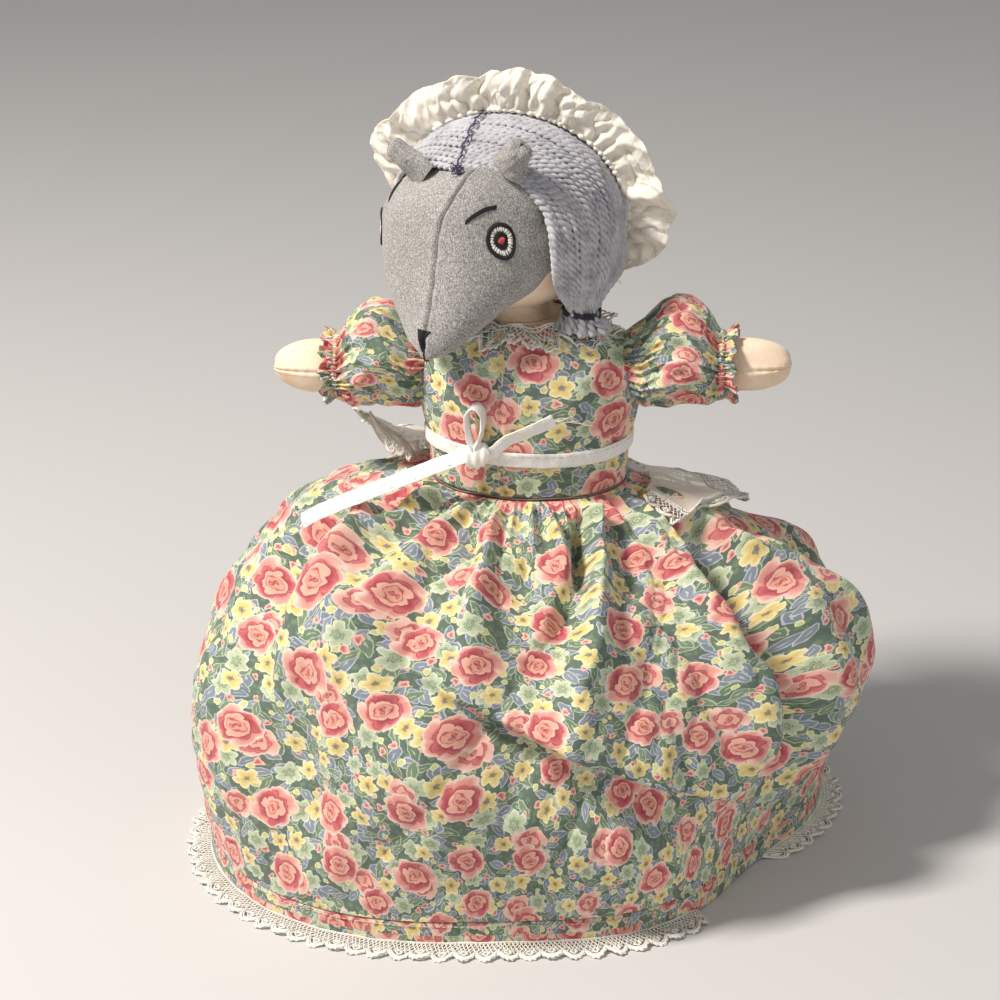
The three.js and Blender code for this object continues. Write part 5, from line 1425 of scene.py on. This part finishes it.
def tape(name, path, across, width, node, thick=1.0, bow_out=0.0):
    """Folded tape swept along a path: across is the direction of its width; its face may bow out."""
    path = np.asarray(path, float)
    across = unit(np.broadcast_to(np.asarray(across, float), path.shape))
    face = unit(np.cross(unit(np.gradient(path, axis=0)), across))
    turn = np.linspace(0, math.tau, 41)
    boxy = (np.abs(np.cos(turn)) ** 3.2 + np.abs(np.sin(turn)) ** 3.2) ** (-1 / 3.2)
    side, deep = width / 2 * boxy * np.cos(turn), thick / 2 * boxy * np.sin(turn)
    deep = deep + bow_out * (1 - (side / (width / 2)) ** 2)
    run = run_along(path)
    soft = 0.22 * np.sin(run * 0.43)[:, None] * np.sin(turn * 2 + 1) + 0.1 * np.sin(run * 1.1)[:, None]
    points = path[:, None] + side[None, :, None] * across[:, None]
    points = points + (deep[None] + soft)[..., None] * face[:, None]
    ends = [np.broadcast_to(points[i].mean(0), (1, 41, 3)) for i in (0, -1)]
    points = np.concatenate([ends[0], points, ends[1]])
    flat = np.stack(np.meshgrid(np.cumsum(np.full(41, width / 20)), np.concatenate([[0], run, run[-1:]])), -1)
    make_piece(name, points, grid_faces(len(points), 41), tape_cotton, "doll", flat, (node,))
    threads = []
    for face_side in (-1, 1):
        edge = path + across * (width / 2 - 1.5) + face * (face_side * (thick / 2 + 0.05) + bow_out * 0.4)
        for first in range(0, len(path) - 4, 5):
            threads.append(tube(edge[first:first + 4], 0.16, 4, face[first:first + 4]))
    make_threads(name + "_stitching", threads, tape_stitch, "doll")


band_rise, tape_width = 20.5, 8.4
turn = np.linspace(math.pi / 2, 2.5 * math.pi, 420)
band_height = band_rise + 0.7 * np.sin(2 * turn + 0.6)
band_half_width, band_half_depth, waist_height = 46.5 + 2.6, 36 + 2.6, 190
belt = np.stack([band_half_width * np.cos(turn), band_half_depth * np.sin(turn),
                 waist_height + band_height], -1)
tape("waist_band_tape", belt, (0, 0, 1), tape_width * 0.82, "waist_tape", thick=1.2)

knot = np.array([-19, -41.7, 213.0])
loop_turn = np.linspace(0.3, math.tau - 0.3, 120)
loop_wide = 4.6 * np.sin(loop_turn) * (0.8 - 0.3 * np.cos(loop_turn))
loop_path = np.stack([knot[0] + loop_wide - 0.6, np.full(120, knot[1] - 0.4) + 1.2 * np.sin(loop_turn / 2),
                      knot[2] + 4.0 + 9.6 - 9.8 * np.cos(loop_turn)], -1)
tape("bow_standing_loop", loop_path, (0.15, 1, 0.1), tape_width, "bow_loop")

long_route = knot + np.array([[-3.0, 0, 0.5], [-7.2, 0, -1.5], [-30, -7, -9], [-58, -12, -21],
                              [-80, -11, -33]])
long_path = smooth_line(long_route, 160)
long_path[:, 2] += 0.8 * np.sin(np.linspace(0, 9, 160)) * np.linspace(0, 1, 160)
tape("bow_long_tail", long_path, (0.3, -0.78, -0.55), tape_width, "tail_long", bow_out=0.3)

short_route = knot + np.array([[3.0, 0, 0.5], [7.6, 0, 1.5], [14, -2, 8], [24, -2, 13], [36, -1, 19]])
short_path = smooth_line(short_route, 90)
twist = 0.5 * np.sin(np.linspace(0, 2.6, 90))
short_across = np.stack([-0.45 * np.cos(twist), -np.sin(twist), np.cos(twist)], -1)
tape("bow_short_tail", short_path, short_across, tape_width * 0.8, "tail_short")
tip = short_path[-1]
frayed = []
for k in range(7):
    ends = tip + np.array([(-1, 0, 0), (3, -0.4, 0.6), (6.5, -1, 0.4), (10, -1, -0.6)]) * (1 + 0.12 * k)
    ends = ends + fold_rng.normal(0, 0.8, (4, 3)) * [[0.3], [1], [1], [1]]
    frayed.append(tube(smooth_line(ends, 20), 0.1, 4))
fray_thread = spun("pale_fray_thread", "#f1e6d8", "#d9c4ae", rough=0.8)
make_threads("tail_fraying", frayed, fray_thread, "doll")

# The knot: the tape is wrapped once over the crossing, its folds fanning in from both sides.
rise, round_it = np.meshgrid(np.linspace(-math.pi / 2, math.pi / 2, 61), np.linspace(0, math.tau, 121),
                             indexing="ij")
pleats = 1 + 0.07 * np.sin(5 * rise * 2 + 1.2 * np.cos(round_it)) * np.cos(rise)
body_x = 6.2 * np.sin(rise) * (1 + 0.12 * np.cos(2 * round_it))
ring = np.cos(rise) ** 0.62 * pleats
knot_points = knot + np.stack([body_x, -4.1 * ring * np.cos(round_it), 6.6 * ring * np.sin(round_it)
                               + 0.12 * body_x], -1)
make_cloth("bow_wrapped_knot", knot_points, tape_cotton, "doll", "bow_knot", turned=True)


# The lower doll's hair is brown yarn laid from the crown down to the neck all round, shorter over the face.
# Standing on the floor presses the crown flat.
brown_yarn = spun("brown_acrylic_yarn", "#6d4730", "#452b1c", rough=0.95, sheen=0.3)
lower_hair_stations = [(-30, 51, 48), (-8, 54, 51), (14, 53, 50), (32, 44, 41), (44, 33, 30), (49.2, 23, 21),
                       (49.4, 8, 7)]
parts = []
hair_rng = np.random.default_rng(31)
for k in range(84):
    a = math.tau * k / 84
    to_front = abs(around_from(a, -90))
    low = 0.0 if to_front > 44 else 0.60 - 0.22 * (to_front / 44) ** 4
    shares = np.linspace(1.0, low, 70)
    turn = a + 0.03 * np.sin(9 * shares)
    strand = oval_form(lower_hair_stations, shares, turn, -1.9 + hair_rng.uniform(-0.4, 0.4))
    out = unit(strand * (1, 1, 0.4))
    width = 0.45 + 0.55 * np.clip(np.linalg.norm(strand[:, :2], axis=1) / 45, 0, 1)
    strand[:, 2] = np.minimum(strand[:, 2], 51.4 - 2.05 * width)
    parts.append(plied(strand, 1.15, 8.5, out, taper=width, phase=hair_rng.uniform(0, 6.28)))
make_threads("brown_yarn_hair", parts, brown_yarn, "doll", "lower_hair", lower_head_frame)
# Under the strands lies a padding in darker browns than the yarn: painted shade in the gaps between the
# strands.
cover_share, cover_angle = grid(50, 97, 0.0, 0.999)
over_face = soft_step(-np.abs(around_from(cover_angle, -90)), -46, -38)
over_face = over_face * (1 - soft_step(cover_share, 0.4, 0.5))
cover = oval_form(lower_hair_stations, cover_share, cover_angle, -3.2)
cover[..., 2] = np.minimum(cover[..., 2], 50.6)
cover[..., :2] *= (1 - 0.14 * (0.75 * over_face > 0.1))[..., None]
make_piece("brown_hair_shade_padding", placed(cover, lower_head_frame), grid_faces(50, 97),
           spun("shaded_brown_yarn", "#4a3020", "#2f1d12", rough=1.0), "doll", None)

# The lower doll's face is embroidered on the front of its head.
lower_skin = skin_of(placed(ball_points(lower_head_half), lower_head_frame))
small_face("lower_", lower_skin, lower_head_frame, -np.array(lower_head_frame)[:3, 1], "doll", 0)
